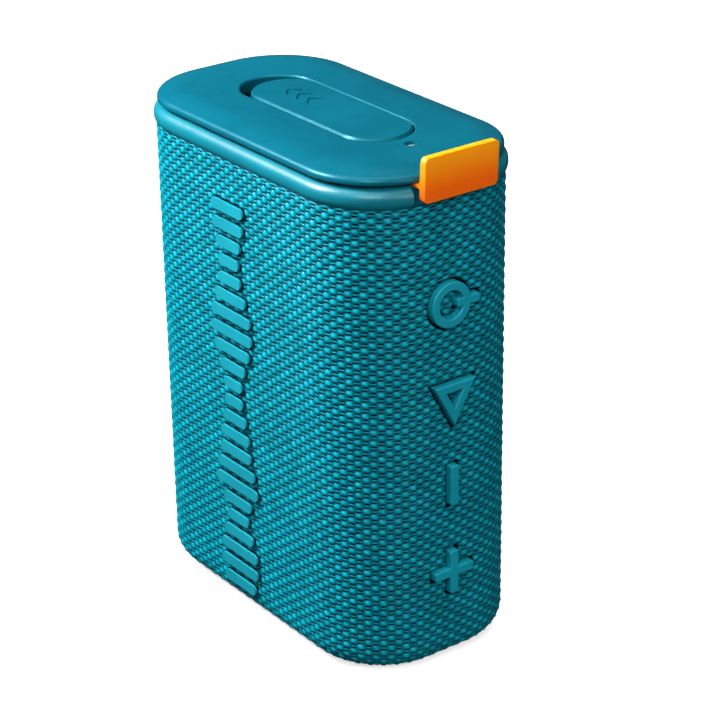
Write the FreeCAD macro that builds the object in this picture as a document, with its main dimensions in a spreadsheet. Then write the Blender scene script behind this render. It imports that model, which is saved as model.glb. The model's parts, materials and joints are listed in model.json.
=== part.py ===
"""Portable speaker: a stadium-shaped cabinet in a woven sleeve, standing on its foot.

Millimetres.  +Z is up, -Y is the wide front face and +X the narrow face with the buttons.
The origin is the centre of the footprint, on the surface that the speaker stands on.
"""

import FreeCAD, Part
import math
import os
import re

import Sketcher
from FreeCAD import Placement, Rotation, Vector

# Driving dimensions: name, value in millimetres or degrees, meaning.
SIZES = [
    ("body_width", 89.8, "over the sleeve, along X"),
    ("body_depth", 49.0, "over the sleeve, along Y"),
    ("body_height", 120.0, "surface to the top of the lid"),
    ("corner_radius", 19.0, "plan corners of the sleeve"),
    ("base_round", 5.5, "rounding of the sleeve's bottom edge"),
    ("fabric_thick", 1.2, "room that the sleeve takes outside the cabinet"),
    ("fabric_ease", 0.1, "gap between sleeve and cabinet"),
    ("hem_gap", 0.4, "shadow gap between sleeve and collar"),
    ("hem_inset", 8.9, "outline to the inner edge of the bottom hem"),
    ("wall", 2.2, "cabinet wall"),
    ("floor_thick", 2.4, "cabinet floor"),
    ("foot_height", 0.8, "rubber foot"),
    ("foot_inset", 2.0, "base plate edge to foot edge"),
    ("play", 0.1, "gap round a piece that is glued or laid in"),
    ("screw_play", 0.05, "gap between a screw and its hole"),
    ("pillar_radius", 3.3, "screw pillars in the cabinet corners"),
    ("pillar_reach", 12.6, "corner arc centre to pillar centre"),
    ("pillar_hole_depth", 10.0, "screw hole in a pillar"),
    ("weld", 0.5, "overlap where two features of one piece join"),
    ("over", 1.0, "how far a cut runs past the face that it opens"),
    ("deck_screw_radius", 0.9, "shank of a deck screw"),
    ("deck_screw_head", 1.8, "head of a deck screw"),
    ("deck_screw_head_thick", 1.3, "head of a deck screw"),
    ("deck_screw_seat", 2.0, "deck left under a deck screw's head"),
    ("case_screw_radius", 0.85, "shank of a base or lid screw"),
    ("base_screw_x", 27.5, "base screws, along X"),
    ("base_screw_y", 10.8, "base screws, along Y"),
    ("base_screw_head", 1.9, "head of a base screw"),
    ("base_screw_reach", 6.0, "base screw above the cabinet's underside"),
    ("boss_radius", 2.4, "bosses for the base screws"),
    ("boss_height", 4.6, "bosses for the base screws, above the floor"),
    ("deck_rim", 2.6, "deck plate that closes the cabinet"),
    ("platform_inset", 3.9, "outline to the deck's raised platform"),
    ("deck_seat", 4.3, "cabinet wall to the hollow under the deck"),
    ("deck_hollow_corner", 6.0, "corners of the hollow under the deck"),
    ("pillar_clear", 0.5, "gap between the pillars and the hollow under the deck"),
    ("post_x", 27.0, "posts for the main board, along X"),
    ("post_y", 8.5, "posts for the main board, along Y"),
    ("post_radius", 2.5, "posts for the main board"),
    ("post_hole_depth", 8.0, "screw holes in the posts"),
    ("board_screw_reach", 6.0, "board screw above the board"),
    ("collar_height", 4.8, "soft bead round the top"),
    ("collar_proud", 0.3, "how far the bead stands outside the sleeve"),
    ("collar_round", 2.2, "rounding of the bead"),
    ("groove_gap", 0.8, "groove between bead and lid"),
    ("lid_thick", 2.8, "lid"),
    ("lid_inset", 0.6, "outline to the lid's rim"),
    ("lid_slope_in", 5.0, "width of the lid's sloping shoulder"),
    ("lid_slope_down", 1.3, "drop of the lid's sloping shoulder"),
    ("lid_crown_round", 13.0, "rounding from lid top to shoulder"),
    ("lid_rim_round", 1.2, "rounding from shoulder to rim"),
    ("lid_under_round", 0.4, "rounding of the rim's lower edge"),
    ("window_chamfer", 0.3, "broken edge of the flap's window"),
    ("lid_screw_x", 14.0, "lid screws, along X"),
    ("lid_screw_y", 14.5, "lid screws, along Y"),
    ("lid_screw_head", 1.6, "head of a lid screw"),
    ("case_screw_head_thick", 1.2, "head of a lid screw"),
    ("lid_screw_reach", 1.8, "lid screw inside the lid"),
    ("gasket_gap", 0.4, "gap between the lid's gasket and what stands in it"),
    ("flap_left", -22.3, "free end of the port flap, X"),
    ("flap_right", 26.0, "hinge end of the port flap, X"),
    ("flap_width", 16.8, "port flap, along Y"),
    ("flap_thick", 2.6, "port flap"),
    ("flap_proud", 0.3, "flap top above the lid"),
    ("flap_bevel", 0.45, "bright bevel round the flap"),
    ("flap_gap", 0.4, "gap round the flap"),
    ("scoop_length", 4.1, "finger recess beyond the free end"),
    ("scoop_depth", 5.8, "finger recess below the lid top"),
    ("hinge_from_end", 6.5, "hinge pin from the flap's hinge end"),
    ("hinge_up", 1.5, "hinge pin above the flap's underside"),
    ("pin_radius", 0.5, "hinge pin"),
    ("pin_seat", 1.7, "hinge pin inside the lid at each end"),
    ("pin_fit", 0.05, "radial play of the flap on its pin"),
    ("pin_grip", 0.02, "radial play of the pin in the lid"),
    ("tail_sweep", 6.95, "room below and beyond the pin for the flap's tail"),
    ("tail_back", 2.5, "room on the near side of the pin for the flap's tail"),
    ("lift_mark_first", 9.0, "free end of the flap to the first lift mark"),
    ("lift_mark_pitch", 4.0, "between lift marks"),
    ("mark_height", 0.25, "raised lift marks on the flap"),
    ("mark_reach", 2.2, "half the width of a lift mark"),
    ("mark_stroke", 1.4, "line of a lift mark"),
    ("bay_depth", 5.0, "port bay floor below the lid's underside"),
    ("bay_width", 12.8, "port bay, along Y"),
    ("bay_left", -18.8, "port bay, X"),
    ("bay_right", 13.8, "port bay, X"),
    ("bay_floor_thick", 1.4, "deck under the port bay"),
    ("bay_corner", 2.0, "corners of the port bay and of the tail's recess"),
    ("seal_gap", 0.3, "gap between the seal ring and the bay's wall"),
    ("seal_width", 1.2, "seal ring under the flap"),
    ("seal_corner", 1.9, "corners of the seal ring"),
    ("seal_height", 0.9, "seal ring under the flap"),
    ("usb_at", -8.0, "centre of the power socket, X"),
    ("usb_width", 8.94, "power socket shell"),
    ("usb_depth", 3.16, "power socket shell"),
    ("usb_length", 7.3, "power socket shell"),
    ("usb_wall", 0.3, "power socket shell"),
    ("usb_tongue_width", 6.7, "tongue in the power socket"),
    ("usb_tongue_thick", 0.7, "tongue in the power socket"),
    ("usb_tongue_short", 0.5, "tongue's tip below the socket's mouth"),
    ("aux_at", 6.0, "centre of the audio socket, X"),
    ("aux_y", -1.6, "centre of the audio socket, Y"),
    ("aux_side", 6.4, "audio socket body"),
    ("aux_neck", 3.0, "radius of the audio socket's neck"),
    ("aux_bottom", 0.8, "audio socket under its hole"),
    ("aux_bore", 1.8, "radius of the audio socket's hole"),
    ("aux_bore_depth", 14.0, "audio socket's hole"),
    ("tab_width", 19.4, "pull tab, along Y"),
    ("tab_shift", 0.2, "centre of the pull tab, Y"),
    ("tab_gap", 0.5, "pull tab to the sleeve's outline"),
    ("tab_thick", 1.6, "pull tab"),
    ("tab_drop", 3.3, "pull tab below its neck"),
    ("tab_rise", 6.7, "pull tab above its neck"),
    ("tab_lean", 0.5, "outward lean over the tab's rise"),
    ("tab_round", 1.1, "corners of the pull tab"),
    ("tongue_thick", 0.7, "neck and root of the pull tab"),
    ("root_corner", 0.6, "corners of the root of the pull tab"),
    ("neck_inset", 1.7, "outline to the line where the tab bends"),
    ("root_length", 7.6, "root of the pull tab"),
    ("peg_radius", 0.9, "pegs that hold the tab's root"),
    ("peg_reach", 5.0, "pegs on each side of the tab's middle"),
    ("peg_from_end", 2.4, "inner end of the root to its pegs"),
    ("notch_inset", 2.2, "outline to the notch floor in the collar"),
    ("notch_side", 0.7, "gap between tab and notch end"),
    ("notch_corner", 1.5, "corners of the notch in the collar"),
    ("button_pitch", 21.6, "between button centres"),
    ("button_radius", 7.2, "button disc under the sleeve"),
    ("button_disc", 1.5, "button disc thickness"),
    ("button_gap", 0.3, "gap round a button disc"),
    ("button_travel", 0.6, "button stroke"),
    ("icon_proud", 0.8, "icons stand out of the sleeve"),
    ("icon_round", 0.35, "edge of an icon"),
    ("icon_play", 0.2, "gap between icon and sleeve"),
    ("icon_stroke", 2.3, "line width of the bar icons"),
    ("icon_corner", 0.6, "corners of a bar icon"),
    ("ring_at", -1.0, "centre of the power ring, Y"),
    ("ring_outer", 5.25, "outer radius of the power ring"),
    ("ring_inner", 3.2, "inner radius of the power ring"),
    ("tick_at", 3.6, "centre of the power icon's bar, Y"),
    ("tick_length", 6.2, "power icon's bar"),
    ("tick_width", 2.1, "power icon's bar"),
    ("minus_length", 9.8, "minus icon"),
    ("plus_length", 10.8, "plus icon"),
    ("triangle_up", 3.1, "play button's centre to the triangle's flat side"),
    ("triangle_half", 5.6, "half the flat side of the play triangle"),
    ("triangle_tall", 10.15, "play triangle, from flat side to tip"),
    ("triangle_stroke", 2.0, "line of the play triangle"),
    ("plunger_radius", 1.5, "button plunger"),
    ("guide_thick", 1.6, "plate that guides the plungers"),
    ("guide_width", 10.8, "plate that guides the plungers"),
    ("guide_corner", 1.0, "corners of the guide plate"),
    ("guide_end", 9.0, "outer button centres to the ends of plate and board"),
    ("standoff_radius", 2.2, "posts between guide plate and switch board"),
    ("switch_screw_radius", 0.7, "switch board screws"),
    ("switch_screw_head", 1.3, "switch board screws"),
    ("switch_screw_hole", 3.0, "screw holes in the guide's posts"),
    ("switch_slack", 0.1, "rest gap between plunger and switch, past the travel"),
    ("switch_side", 4.5, "tact switch"),
    ("switch_stem", 1.0, "radius of a switch's stem"),
    ("switch_stem_out", 0.5, "switch's stem beyond its body"),
    ("board_half_width", 5.0, "half the switch board"),
    ("switch_height", 2.0, "tact switch"),
    ("board_thick", 1.2, "switch board and port board"),
    ("driver_radius", 25.6, "loudspeaker flange"),
    ("driver_screw_circle", 24.0, "radius of the circle of loudspeaker screws"),
    ("speaker_screw_radius", 0.8, "shank of a loudspeaker, radiator or board screw"),
    ("speaker_screw_head", 1.4, "loudspeaker and radiator screws"),
    ("speaker_screw_bite", 1.5, "loudspeaker and radiator screws in the cabinet wall"),
    ("screw_head_thick", 1.0, "heads of the small screws"),
    ("hole_spare", 0.3, "how much deeper a blind hole is than its screw"),
    ("driver_window", 20.5, "radius of the front window"),
    ("grille_inset_depth", 0.9, "recess for a grille"),
    ("grille_lip", 2.0, "grille overlap round a window"),
    ("grille_hole", 1.2, "radius of the holes in the front grille"),
    ("grille_pitch", 4.4, "between rings of holes in the front grille"),
    ("slot_length", 26.0, "slots in the rear grille"),
    ("slot_width", 2.4, "slots in the rear grille"),
    ("slot_pitch", 4.0, "largest pitch of these slots"),
    ("slot_end", 9.8, "opening's ends to the outer slots"),
    ("grille_thick", 0.8, "grille sheet"),
    ("gasket_thick", 0.5, "foam gaskets"),
    ("flange_thick", 1.6, "loudspeaker and radiator frames"),
    ("radiator_width", 50.4, "passive radiator frame"),
    ("radiator_end_gap", 10.3, "radiator frame to the top of the cabinet"),
    ("radiator_frame_corner", 8.0, "passive radiator frame"),
    ("radiator_screw_in", 3.0, "frame's edges to its screws"),
    ("window_corner", 17.0, "corners of the rear window"),
    ("radiator_border", 4.9, "passive radiator frame, edge to opening"),
    ("roll_width", 2.4, "half-roll surrounds"),
    ("roll_film", 0.4, "material of the loudspeaker's surround"),
    ("roll_sink", 0.6, "surround's middle in front of the flange's back"),
    ("basket_wide", 21.5, "loudspeaker basket at the flange, radius"),
    ("basket_narrow", 13.5, "loudspeaker basket at its back, radius"),
    ("basket_deep", 9.2, "loudspeaker basket, along Y"),
    ("basket_sheet", 1.0, "wall of the basket"),
    ("basket_back_hole", 8.0, "radius of the hole in the basket's back"),
    ("basket_back_thick", 1.2, "back of the basket"),
    ("vent_half", 6.0, "half the width of the basket's openings"),
    ("vent_from", 2.0, "flange to the basket's openings"),
    ("vent_to", 7.0, "flange to the far side of the basket's openings"),
    ("gasket_ring", 2.4, "width of the loudspeaker's gasket"),
    ("coil_radius", 7.3, "voice coil"),
    ("coil_thick", 0.3, "voice coil"),
    ("coil_length", 9.6, "voice coil"),
    ("cone_deep", 6.4, "cone, along Y"),
    ("cone_sheet", 0.5, "cone, across its wall"),
    ("cap_radius", 9.0, "dust cap's ball"),
    ("cap_sheet", 0.4, "dust cap"),
    ("cap_back", 11.6, "flange to the centre of the dust cap's ball"),
    ("spider_radius", 12.3, "spider"),
    ("spider_thick", 0.4, "spider"),
    ("spider_at", 8.6, "flange to the spider"),
    ("top_plate_radius", 12.0, "top plate and yoke"),
    ("top_plate_gap", 0.6, "top plate to the voice coil"),
    ("top_plate_thick", 3.0, "top plate and yoke"),
    ("magnet_radius", 13.5, "magnet"),
    ("magnet_hole", 9.0, "radius of the hole in the magnet"),
    ("magnet_thick", 6.0, "magnet"),
    ("pole_radius", 6.5, "pole"),
    ("pole_short", 0.5, "pole's joint with the yoke"),
    ("radiator_roll", 1.2, "surround of the passive radiator"),
    ("radiator_sheet", 1.4, "plate of the passive radiator"),
    ("radiator_edge", 0.5, "rounded edges of the passive radiator"),
    ("weight_radius", 8.0, "weight on the passive radiator"),
    ("weight_thick", 2.0, "weight on the passive radiator"),
    ("moving_gap", 0.3, "gap beside a moving diaphragm"),
    ("battery_radius", 9.2, "battery cell"),
    ("battery_length", 65.0, "battery cell"),
    ("cradle_thick", 1.4, "battery cradle under and beside the cell"),
    ("cradle_half_length", 22.0, "half the battery cradle"),
    ("cradle_grip", 3.0, "cradle's and strap's edges below the cell's middle"),
    ("strap_width", 10.0, "battery strap"),
    ("strap_thick", 0.6, "battery strap"),
    ("board_drop", 15.4, "deck's ceiling to the top of the main board"),
    ("main_board_thick", 1.4, "main board"),
    ("main_board_width", 63.0, "main board, along X"),
    ("main_board_depth", 21.6, "main board, along Y"),
    ("pinhole_at", 30.4, "status light, and the microphone at the other end, X"),
    ("pinhole_sink", 1.4, "countersink radius of the status light's hole"),
    ("pinhole_sink_depth", 0.5, "countersink of the status light's hole"),
    ("pipe_radius", 0.9, "light pipe"),
    ("pipe_below", 0.6, "light pipe below the lid's top"),
    ("boot_radius", 2.0, "microphone boot"),
    ("boot_bore", 0.6, "radius of the microphone's passage"),
    ("lamp_room", 1.1, "light pipe and boot above the main board"),
    ("port_board_y", 1.75, "front face of the port board, Y"),
    ("port_board_left", 11.0, "port board beyond the power socket's centre"),
    ("port_board_right", 7.0, "port board beyond the audio socket's centre"),
    ("capacitor_radius", 2.5, "capacitors"),
    ("capacitor_height", 7.0, "capacitors"),
    ("capacitor_pitch", 6.0, "between capacitors, and their place in Y"),
    ("lead_end", 0.1, "gap between a lead's end and what it serves"),
    ("lead_low", 10.0, "where the battery lead turns, below the main board"),
    ("lead_in", 6.0, "battery lead inside the board's edge"),
    ("ribbon_thick", 0.4, "switch ribbon"),
    ("ribbon_near", 1.2, "near edge of the switch ribbon, Y"),
    ("ribbon_far", 4.8, "far edge of the switch ribbon, Y"),
    ("ribbon_down", 6.0, "switch ribbon below the main board's top"),
    ("ribbon_in", 3.0, "switch ribbon inside the main board's edge"),
    ("emblem_below", 5.5, "sleeve left below the level bars"),
    ("emblem_above", 8.6, "sleeve left above the level bars"),
    ("emblem_at", -3.1, "centre of the level bars, X"),
    ("emblem_bar", 2.5, "width of one level bar"),
    ("emblem_thick", 0.55, "level bars stand on the sleeve"),
]

# Levels and outlines that follow from the driving dimensions.
DERIVED = {
    "cabinet_width": "body_width - 2 * fabric_thick",
    "cabinet_depth": "body_depth - 2 * fabric_thick",
    "cabinet_radius": "corner_radius - fabric_thick",
    "cabinet_bottom": "foot_height + fabric_thick",
    "floor_top": "cabinet_bottom + floor_thick",
    "lid_bottom": "body_height - lid_thick",
    "platform_top": "lid_bottom - groove_gap",
    "collar_bottom": "platform_top - collar_height",
    "fabric_top": "collar_bottom - hem_gap",
    "cabinet_top": "collar_bottom - deck_rim",
    "bay_floor": "lid_bottom - bay_depth",
    "deck_ceiling": "bay_floor - bay_floor_thick",
    "pillar_x": "body_width / 2 - corner_radius + pillar_reach * 0.7071",
    "pillar_y": "body_depth / 2 - corner_radius + pillar_reach * 0.7071",
    "flap_top": "body_height + flap_proud",
    "flap_bottom": "flap_top - flap_thick",
    "hinge_x": "flap_right - hinge_from_end",
    "hinge_z": "flap_bottom + hinge_up",
    "window_left": "flap_left - scoop_length",
    "window_right": "flap_right + flap_gap",
    "window_width": "flap_width + 2 * flap_gap",
    "neck_x": "body_width / 2 - neck_inset",
    "neck_z": "platform_top + groove_gap / 2",
    "tab_x": "body_width / 2 + tab_gap",
    "wall_out_x": "cabinet_width / 2",
    "wall_in_x": "cabinet_width / 2 - wall",
    "wall_out_y": "cabinet_depth / 2",
    "wall_in_y": "cabinet_depth / 2 - wall",
    "disc_back_x": "disc_front_x - button_disc",
    "switch_tip_x": "wall_in_x - guide_thick - button_travel - switch_slack",
    "board_front_x": "switch_tip_x - switch_height",
    "board_back_x": "board_front_x - board_thick",
    "main_board_top": "deck_ceiling - board_drop",
    "main_board_z": "main_board_top - main_board_thick",
    "driver_z": "body_height / 2",
    "radiator_height": "2 * (cabinet_top - radiator_end_gap - driver_z)",
    "opening_width": "radiator_width - 2 * radiator_border",
    "opening_height": "radiator_height - 2 * radiator_border",
    "button_first": "(foot_height + fabric_top) / 2 - 1.5 * button_pitch",
    "button_last": "button_first + 3 * button_pitch",
    "emblem_low": "foot_height + emblem_below",
    "emblem_high": "fabric_top - emblem_above",
    "pin_length": "window_width + 2 * pin_seat",
    "seal_length": "bay_right - bay_left - 2 * seal_gap",
    "seal_across": "bay_width - 2 * seal_gap",
    "disc_front_x": "wall_out_x - fabric_ease",
    "guide_low": "button_first - guide_end",
    "guide_high": "button_last + guide_end",
    "guide_back_x": "wall_in_x - guide_thick",
    "triangle_side": "sqrt(triangle_half ^ 2 + triangle_tall ^ 2)",
    "triangle_in": "triangle_half * triangle_tall / (triangle_half + triangle_side)",
    "jack_bottom": "bay_floor - aux_bore_depth - aux_bottom",
    "driver_screw_reach": "driver_screw_circle * 0.7071",
    "peg_x": "neck_x - root_length + peg_from_end",
    "cell_z": "floor_top + cradle_thick + battery_radius",
    "roll_outer": "driver_window - play",
    "cone_radius": "roll_outer - roll_width - moving_gap",
    "flange_front_y": "wall_in_y - gasket_thick",
    "flange_back_y": "flange_front_y - flange_thick",
}

BUTTONS = ["volume_up", "volume_down", "play", "power"]
TURNS = {
    "x": Rotation(Vector(0, 1, 0), 90),
    "y": Rotation(Vector(1, 0, 0), -90),
    "z": Rotation(),
}
MIRRORED = [(1, 1), (-1, 1), (-1, -1), (1, -1)]
BAR_COUNT = 23

doc = FreeCAD.newDocument("portable_speaker")
parts = []


# ---- the sheet and expressions ---------------------------------------------------------


def fill_sheet():
    """The driving dimensions, one row each: name, value, meaning."""
    sheet = doc.addObject("Spreadsheet::Sheet", "sizes")
    for row, (name, value, meaning) in enumerate(SIZES, start=1):
        sheet.set(f"A{row}", name)
        sheet.set(f"B{row}", str(value))
        sheet.setAlias(f"B{row}", name)
        sheet.set(f"C{row}", meaning)
    doc.recompute()
    return sheet


sizes = fill_sheet()
ALIASES = {name for name, _, _ in SIZES}


def linked(text):
    """A size in plain names, such as "wall / 2", as an expression on the sheet."""

    def swap(match):
        word = match.group(0)
        if word in DERIVED:
            return "(" + linked(DERIVED[word]) + ")"
        return "sizes." + word if word in ALIASES else word

    return re.sub(r"[a-z][a-z_0-9]*", swap, str(text))


def amount(text):
    """The present value of a size."""
    return float(sizes.evalExpression(linked(text)))


def bind(item, setting, size):
    item.setExpression(setting, linked(size))


def part(item, name):
    """Enters a finished sub-part under the name of its node."""
    item.Label = name
    parts.append(item)
    return item


# ---- bodies, sketches and features ---------------------------------------------------------


def new_body(name):
    return doc.addObject("PartDesign::Body", name + "_body")


def sketch(body, plane, level="0", across="0", along="0"):
    """A sketch on one of the body's planes, moved along the normal, then in the plane."""
    item = body.newObject("Sketcher::SketchObject", body.Name + "_sketch")
    origin = next(f for f in body.Origin.OriginFeatures if f.Role == plane + "_Plane")
    item.AttachmentSupport = (origin, [""])
    item.MapMode = "FlatFace"
    bind(item, "AttachmentOffset.Base.x", across)
    bind(item, "AttachmentOffset.Base.y", along)
    bind(item, "AttachmentOffset.Base.z", level)
    return item


def hold(item, kind, places, size):
    """A dimension of a sketch that follows the sheet."""
    index = item.addConstraint(Sketcher.Constraint(kind, *places, amount(size)))
    item.setExpression(f"Constraints[{index}]", linked(size))


def rounded_box(item, width, depth, radius):
    """A rectangle with round corners, centred on the sketch's origin."""
    half_w, half_d, r = amount(width) / 2, amount(depth) / 2, amount(radius)
    corners = [(1, 1, 0), (-1, 1, 90), (-1, -1, 180), (1, -1, 270)]
    first = item.GeometryCount
    for sx, sy, start in corners:
        circle = Part.Circle(Vector(sx * (half_w - r), sy * (half_d - r), 0), Vector(0, 0, 1), r)
        item.addGeometry(
            Part.ArcOfCircle(circle, math.radians(start), math.radians(start + 90)), False
        )
    for k in range(4):
        line_start = item.getPoint(first + k, 2)
        line_end = item.getPoint(first + (k + 1) % 4, 1)
        item.addGeometry(Part.LineSegment(line_start, line_end), False)
    for k in range(4):
        line = first + 4 + k
        item.addConstraint(Sketcher.Constraint("Tangent", first + k, 2, line, 1))
        item.addConstraint(Sketcher.Constraint("Tangent", line, 2, first + (k + 1) % 4, 1))
        item.addConstraint(Sketcher.Constraint("Vertical" if k % 2 else "Horizontal", line))
    for k in range(1, 4):
        item.addConstraint(Sketcher.Constraint("Equal", first, first + k))
    item.addConstraint(Sketcher.Constraint("Symmetric", first, 3, first + 2, 3, -1, 1))
    hold(item, "Radius", (first,), radius)
    hold(item, "DistanceX", (first + 4, 2, first + 4, 1), f"{width} - 2 * ({radius})")
    hold(item, "DistanceY", (first + 5, 2, first + 5, 1), f"{depth} - 2 * ({radius})")
    return item


def stadium(item, length, width):
    """A slot along the sketch's first axis, centred on its origin."""
    r = amount(width) / 2
    reach = amount(length) / 2 - r
    right = Part.Circle(Vector(reach, 0, 0), Vector(0, 0, 1), r)
    left = Part.Circle(Vector(-reach, 0, 0), Vector(0, 0, 1), r)
    first = item.GeometryCount
    item.addGeometry(Part.ArcOfCircle(right, -math.pi / 2, math.pi / 2), False)
    item.addGeometry(Part.ArcOfCircle(left, math.pi / 2, 3 * math.pi / 2), False)
    item.addGeometry(Part.LineSegment(Vector(reach, r, 0), Vector(-reach, r, 0)), False)
    item.addGeometry(Part.LineSegment(Vector(-reach, -r, 0), Vector(reach, -r, 0)), False)
    for arc, end, line, start in [(0, 2, 2, 1), (1, 1, 2, 2), (1, 2, 3, 1), (0, 1, 3, 2)]:
        item.addConstraint(Sketcher.Constraint("Tangent", first + arc, end, first + line, start))
    item.addConstraint(Sketcher.Constraint("Symmetric", first, 3, first + 1, 3, -1, 1))
    item.addConstraint(Sketcher.Constraint("Horizontal", first + 2))
    hold(item, "Radius", (first,), f"({width}) / 2")
    hold(item, "DistanceX", (first + 1, 3, first, 3), f"{length} - ({width})")
    return item


def disc(item, radius):
    """A circle on the sketch's origin."""
    index = item.addGeometry(
        Part.Circle(Vector(0, 0, 0), Vector(0, 0, 1), amount(radius)), False
    )
    item.addConstraint(Sketcher.Constraint("Coincident", index, 3, -1, 1))
    hold(item, "Radius", (index,), radius)
    return item


def four_discs(item, reach_x, reach_y, radius):
    """Four equal circles, mirrored about both sketch axes."""
    first = item.GeometryCount
    for sx, sy in MIRRORED:
        centre = Vector(sx * amount(reach_x), sy * amount(reach_y), 0)
        item.addGeometry(Part.Circle(centre, Vector(0, 0, 1), amount(radius)), False)
    for a, b, axis in [(0, 1, -2), (1, 2, -1), (0, 3, -1)]:
        item.addConstraint(Sketcher.Constraint("Symmetric", first + a, 3, first + b, 3, axis))
    for k in range(1, 4):
        item.addConstraint(Sketcher.Constraint("Equal", first, first + k))
    hold(item, "Radius", (first,), radius)
    hold(item, "DistanceX", (-1, 1, first, 3), reach_x)
    hold(item, "DistanceY", (-1, 1, first, 3), reach_y)
    return item


def polygon(item, corners):
    """A closed outline through corners that are pairs of sizes."""
    places = [Vector(amount(a), amount(b), 0) for a, b in corners]
    count = len(places)
    first = item.GeometryCount
    for k in range(count):
        item.addGeometry(Part.LineSegment(places[k], places[(k + 1) % count]), False)
    for k in range(count):
        following = first + (k + 1) % count
        item.addConstraint(Sketcher.Constraint("Coincident", first + k, 2, following, 1))
    for k, (a, b) in enumerate(corners):
        hold(item, "DistanceX", (-1, 1, first + k, 1), a)
        hold(item, "DistanceY", (-1, 1, first + k, 1), b)
    return item


def pad(body, item, length, back=False, both=False):
    """Material from a sketch along its normal, against it, or half each way."""
    feature = body.newObject("PartDesign::Pad", body.Name + "_pad")
    feature.Profile = item
    bind(feature, "Length", length)
    feature.Reversed = back
    if both:
        feature.SideType = "Symmetric"
    return feature


def pocket(body, item, depth, back=False, both=False):
    """A cut from a sketch against its normal; back cuts along it.  It has to remove material."""
    doc.recompute()
    before = body.Shape.Volume
    feature = body.newObject("PartDesign::Pocket", body.Name + "_pocket")
    feature.Profile = item
    bind(feature, "Length", depth)
    feature.Reversed = back
    if both:
        feature.SideType = "Symmetric"
    doc.recompute()
    if before - body.Shape.Volume < 1e-4:
        raise RuntimeError(f"{feature.Name} removes nothing")
    return feature


def edges_at(shape, axis, level, keep=None):
    """The names of the edges that lie in one plane, or those of them that keep() accepts."""
    names = []
    for k, edge in enumerate(shape.Edges, start=1):
        box = edge.BoundBox
        low, high = (getattr(box, axis + "Min"), getattr(box, axis + "Max"))
        if abs(low - level) < 1e-4 and abs(high - level) < 1e-4 and (not keep or keep(edge)):
            names.append(f"Edge{k}")
    return names


def fillet(body, axis, level, radius, keep=None):
    """Rounds the edges in one plane of what the body holds so far."""
    doc.recompute()
    base = body.Tip
    names = edges_at(base.Shape, axis, amount(level), keep)
    feature = body.newObject("PartDesign::Fillet", body.Name + "_fillet")
    feature.Base = (base, names)
    bind(feature, "Radius", radius)
    doc.recompute()
    return feature


def slope(body, axis, level, first, second, keep=None, flip=False):
    """A two-distance chamfer on the edges in one plane."""
    doc.recompute()
    base = body.Tip
    names = edges_at(base.Shape, axis, amount(level), keep)
    feature = body.newObject("PartDesign::Chamfer", body.Name + "_chamfer")
    feature.Base = (base, names)
    feature.ChamferType = "Two distances"
    bind(feature, "Size", first)
    bind(feature, "Size2", second)
    feature.FlipDirection = flip
    doc.recompute()
    return feature


# ---- primitives and booleans ---------------------------------------------------------


def place(item, x, y, z, along="z"):
    item.Placement = Placement(Vector(), TURNS[along])
    for axis, size in zip("xyz", (x, y, z)):
        bind(item, "Placement.Base." + axis, size)
    return item


def rod(name, radius, length, x="0", y="0", z="0", along="z"):
    """A cylinder that starts at a point and runs along an axis."""
    item = doc.addObject("Part::Cylinder", name)
    bind(item, "Radius", radius)
    bind(item, "Height", length)
    return place(item, x, y, z, along)


def cone(name, start_radius, end_radius, length, x="0", y="0", z="0", along="z"):
    item = doc.addObject("Part::Cone", name)
    bind(item, "Radius1", start_radius)
    bind(item, "Radius2", end_radius)
    bind(item, "Height", length)
    return place(item, x, y, z, along)


def block(name, low, high):
    """A box between two corners."""
    item = doc.addObject("Part::Box", name)
    for setting, a, b in zip(("Length", "Width", "Height"), low, high):
        bind(item, setting, f"({b}) - ({a})")
    return place(item, *low)


def cut(name, base, tool):
    item = doc.addObject("Part::Cut", name)
    item.Base = base
    item.Tool = tool
    return item


def common(name, base, tool):
    item = doc.addObject("Part::Common", name)
    item.Base = base
    item.Tool = tool
    return item


def fuse(name, *items):
    item = doc.addObject("Part::MultiFuse", name)
    item.Shapes = list(items)
    return item


def group(name, items):
    """Equal pieces that stay separate solids of one node."""
    item = doc.addObject("Part::Compound", name)
    item.Links = list(items)
    return item


def tube(name, outer, inner, length, x="0", y="0", z="0", along="z"):
    solid = rod(name + "_outer", outer, length, x, y, z, along)
    hole = rod(name + "_inner", inner, length, x, y, z, along)
    return cut(name + "_tube", solid, hole)


def plate(name, width, depth, radius, bottom, thick):
    """A body that is one flat plate with round corners, centred on Z."""
    body = new_body(name)
    pad(body, rounded_box(sketch(body, "XY", bottom), width, depth, radius), thick)
    return body


def inset(distance):
    """Width, depth and corner radius of the body's outline, moved inwards."""
    return (
        f"body_width - 2 * ({distance})",
        f"body_depth - 2 * ({distance})",
        f"corner_radius - ({distance})",
    )


def corner_screws(name, reach_x, reach_y, head, shank, low, head_low, top, head_up):
    """Four screws at mirrored places; the head is at the upper end if head_up is true."""
    screws = []
    for number, (sx, sy) in enumerate(MIRRORED):
        x, y = f"{sx} * ({reach_x})", f"{sy} * ({reach_y})"
        own = f"{name}_{number}"
        if head_up:
            shaft = rod(own + "_shaft", shank, f"({head_low}) - ({low})", x, y, low)
            cap = rod(own + "_head", head, f"({top}) - ({head_low})", x, y, head_low)
        else:
            shaft = rod(own + "_shaft", shank, f"({top}) - ({head_low})", x, y, head_low)
            cap = rod(own + "_head", head, f"({head_low}) - ({low})", x, y, low)
        screws.append(fuse(own, shaft, cap))
    return part(group(name, screws), name)


# ---- the cabinet, its sleeve and its base ---------------------------------------------------------


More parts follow.
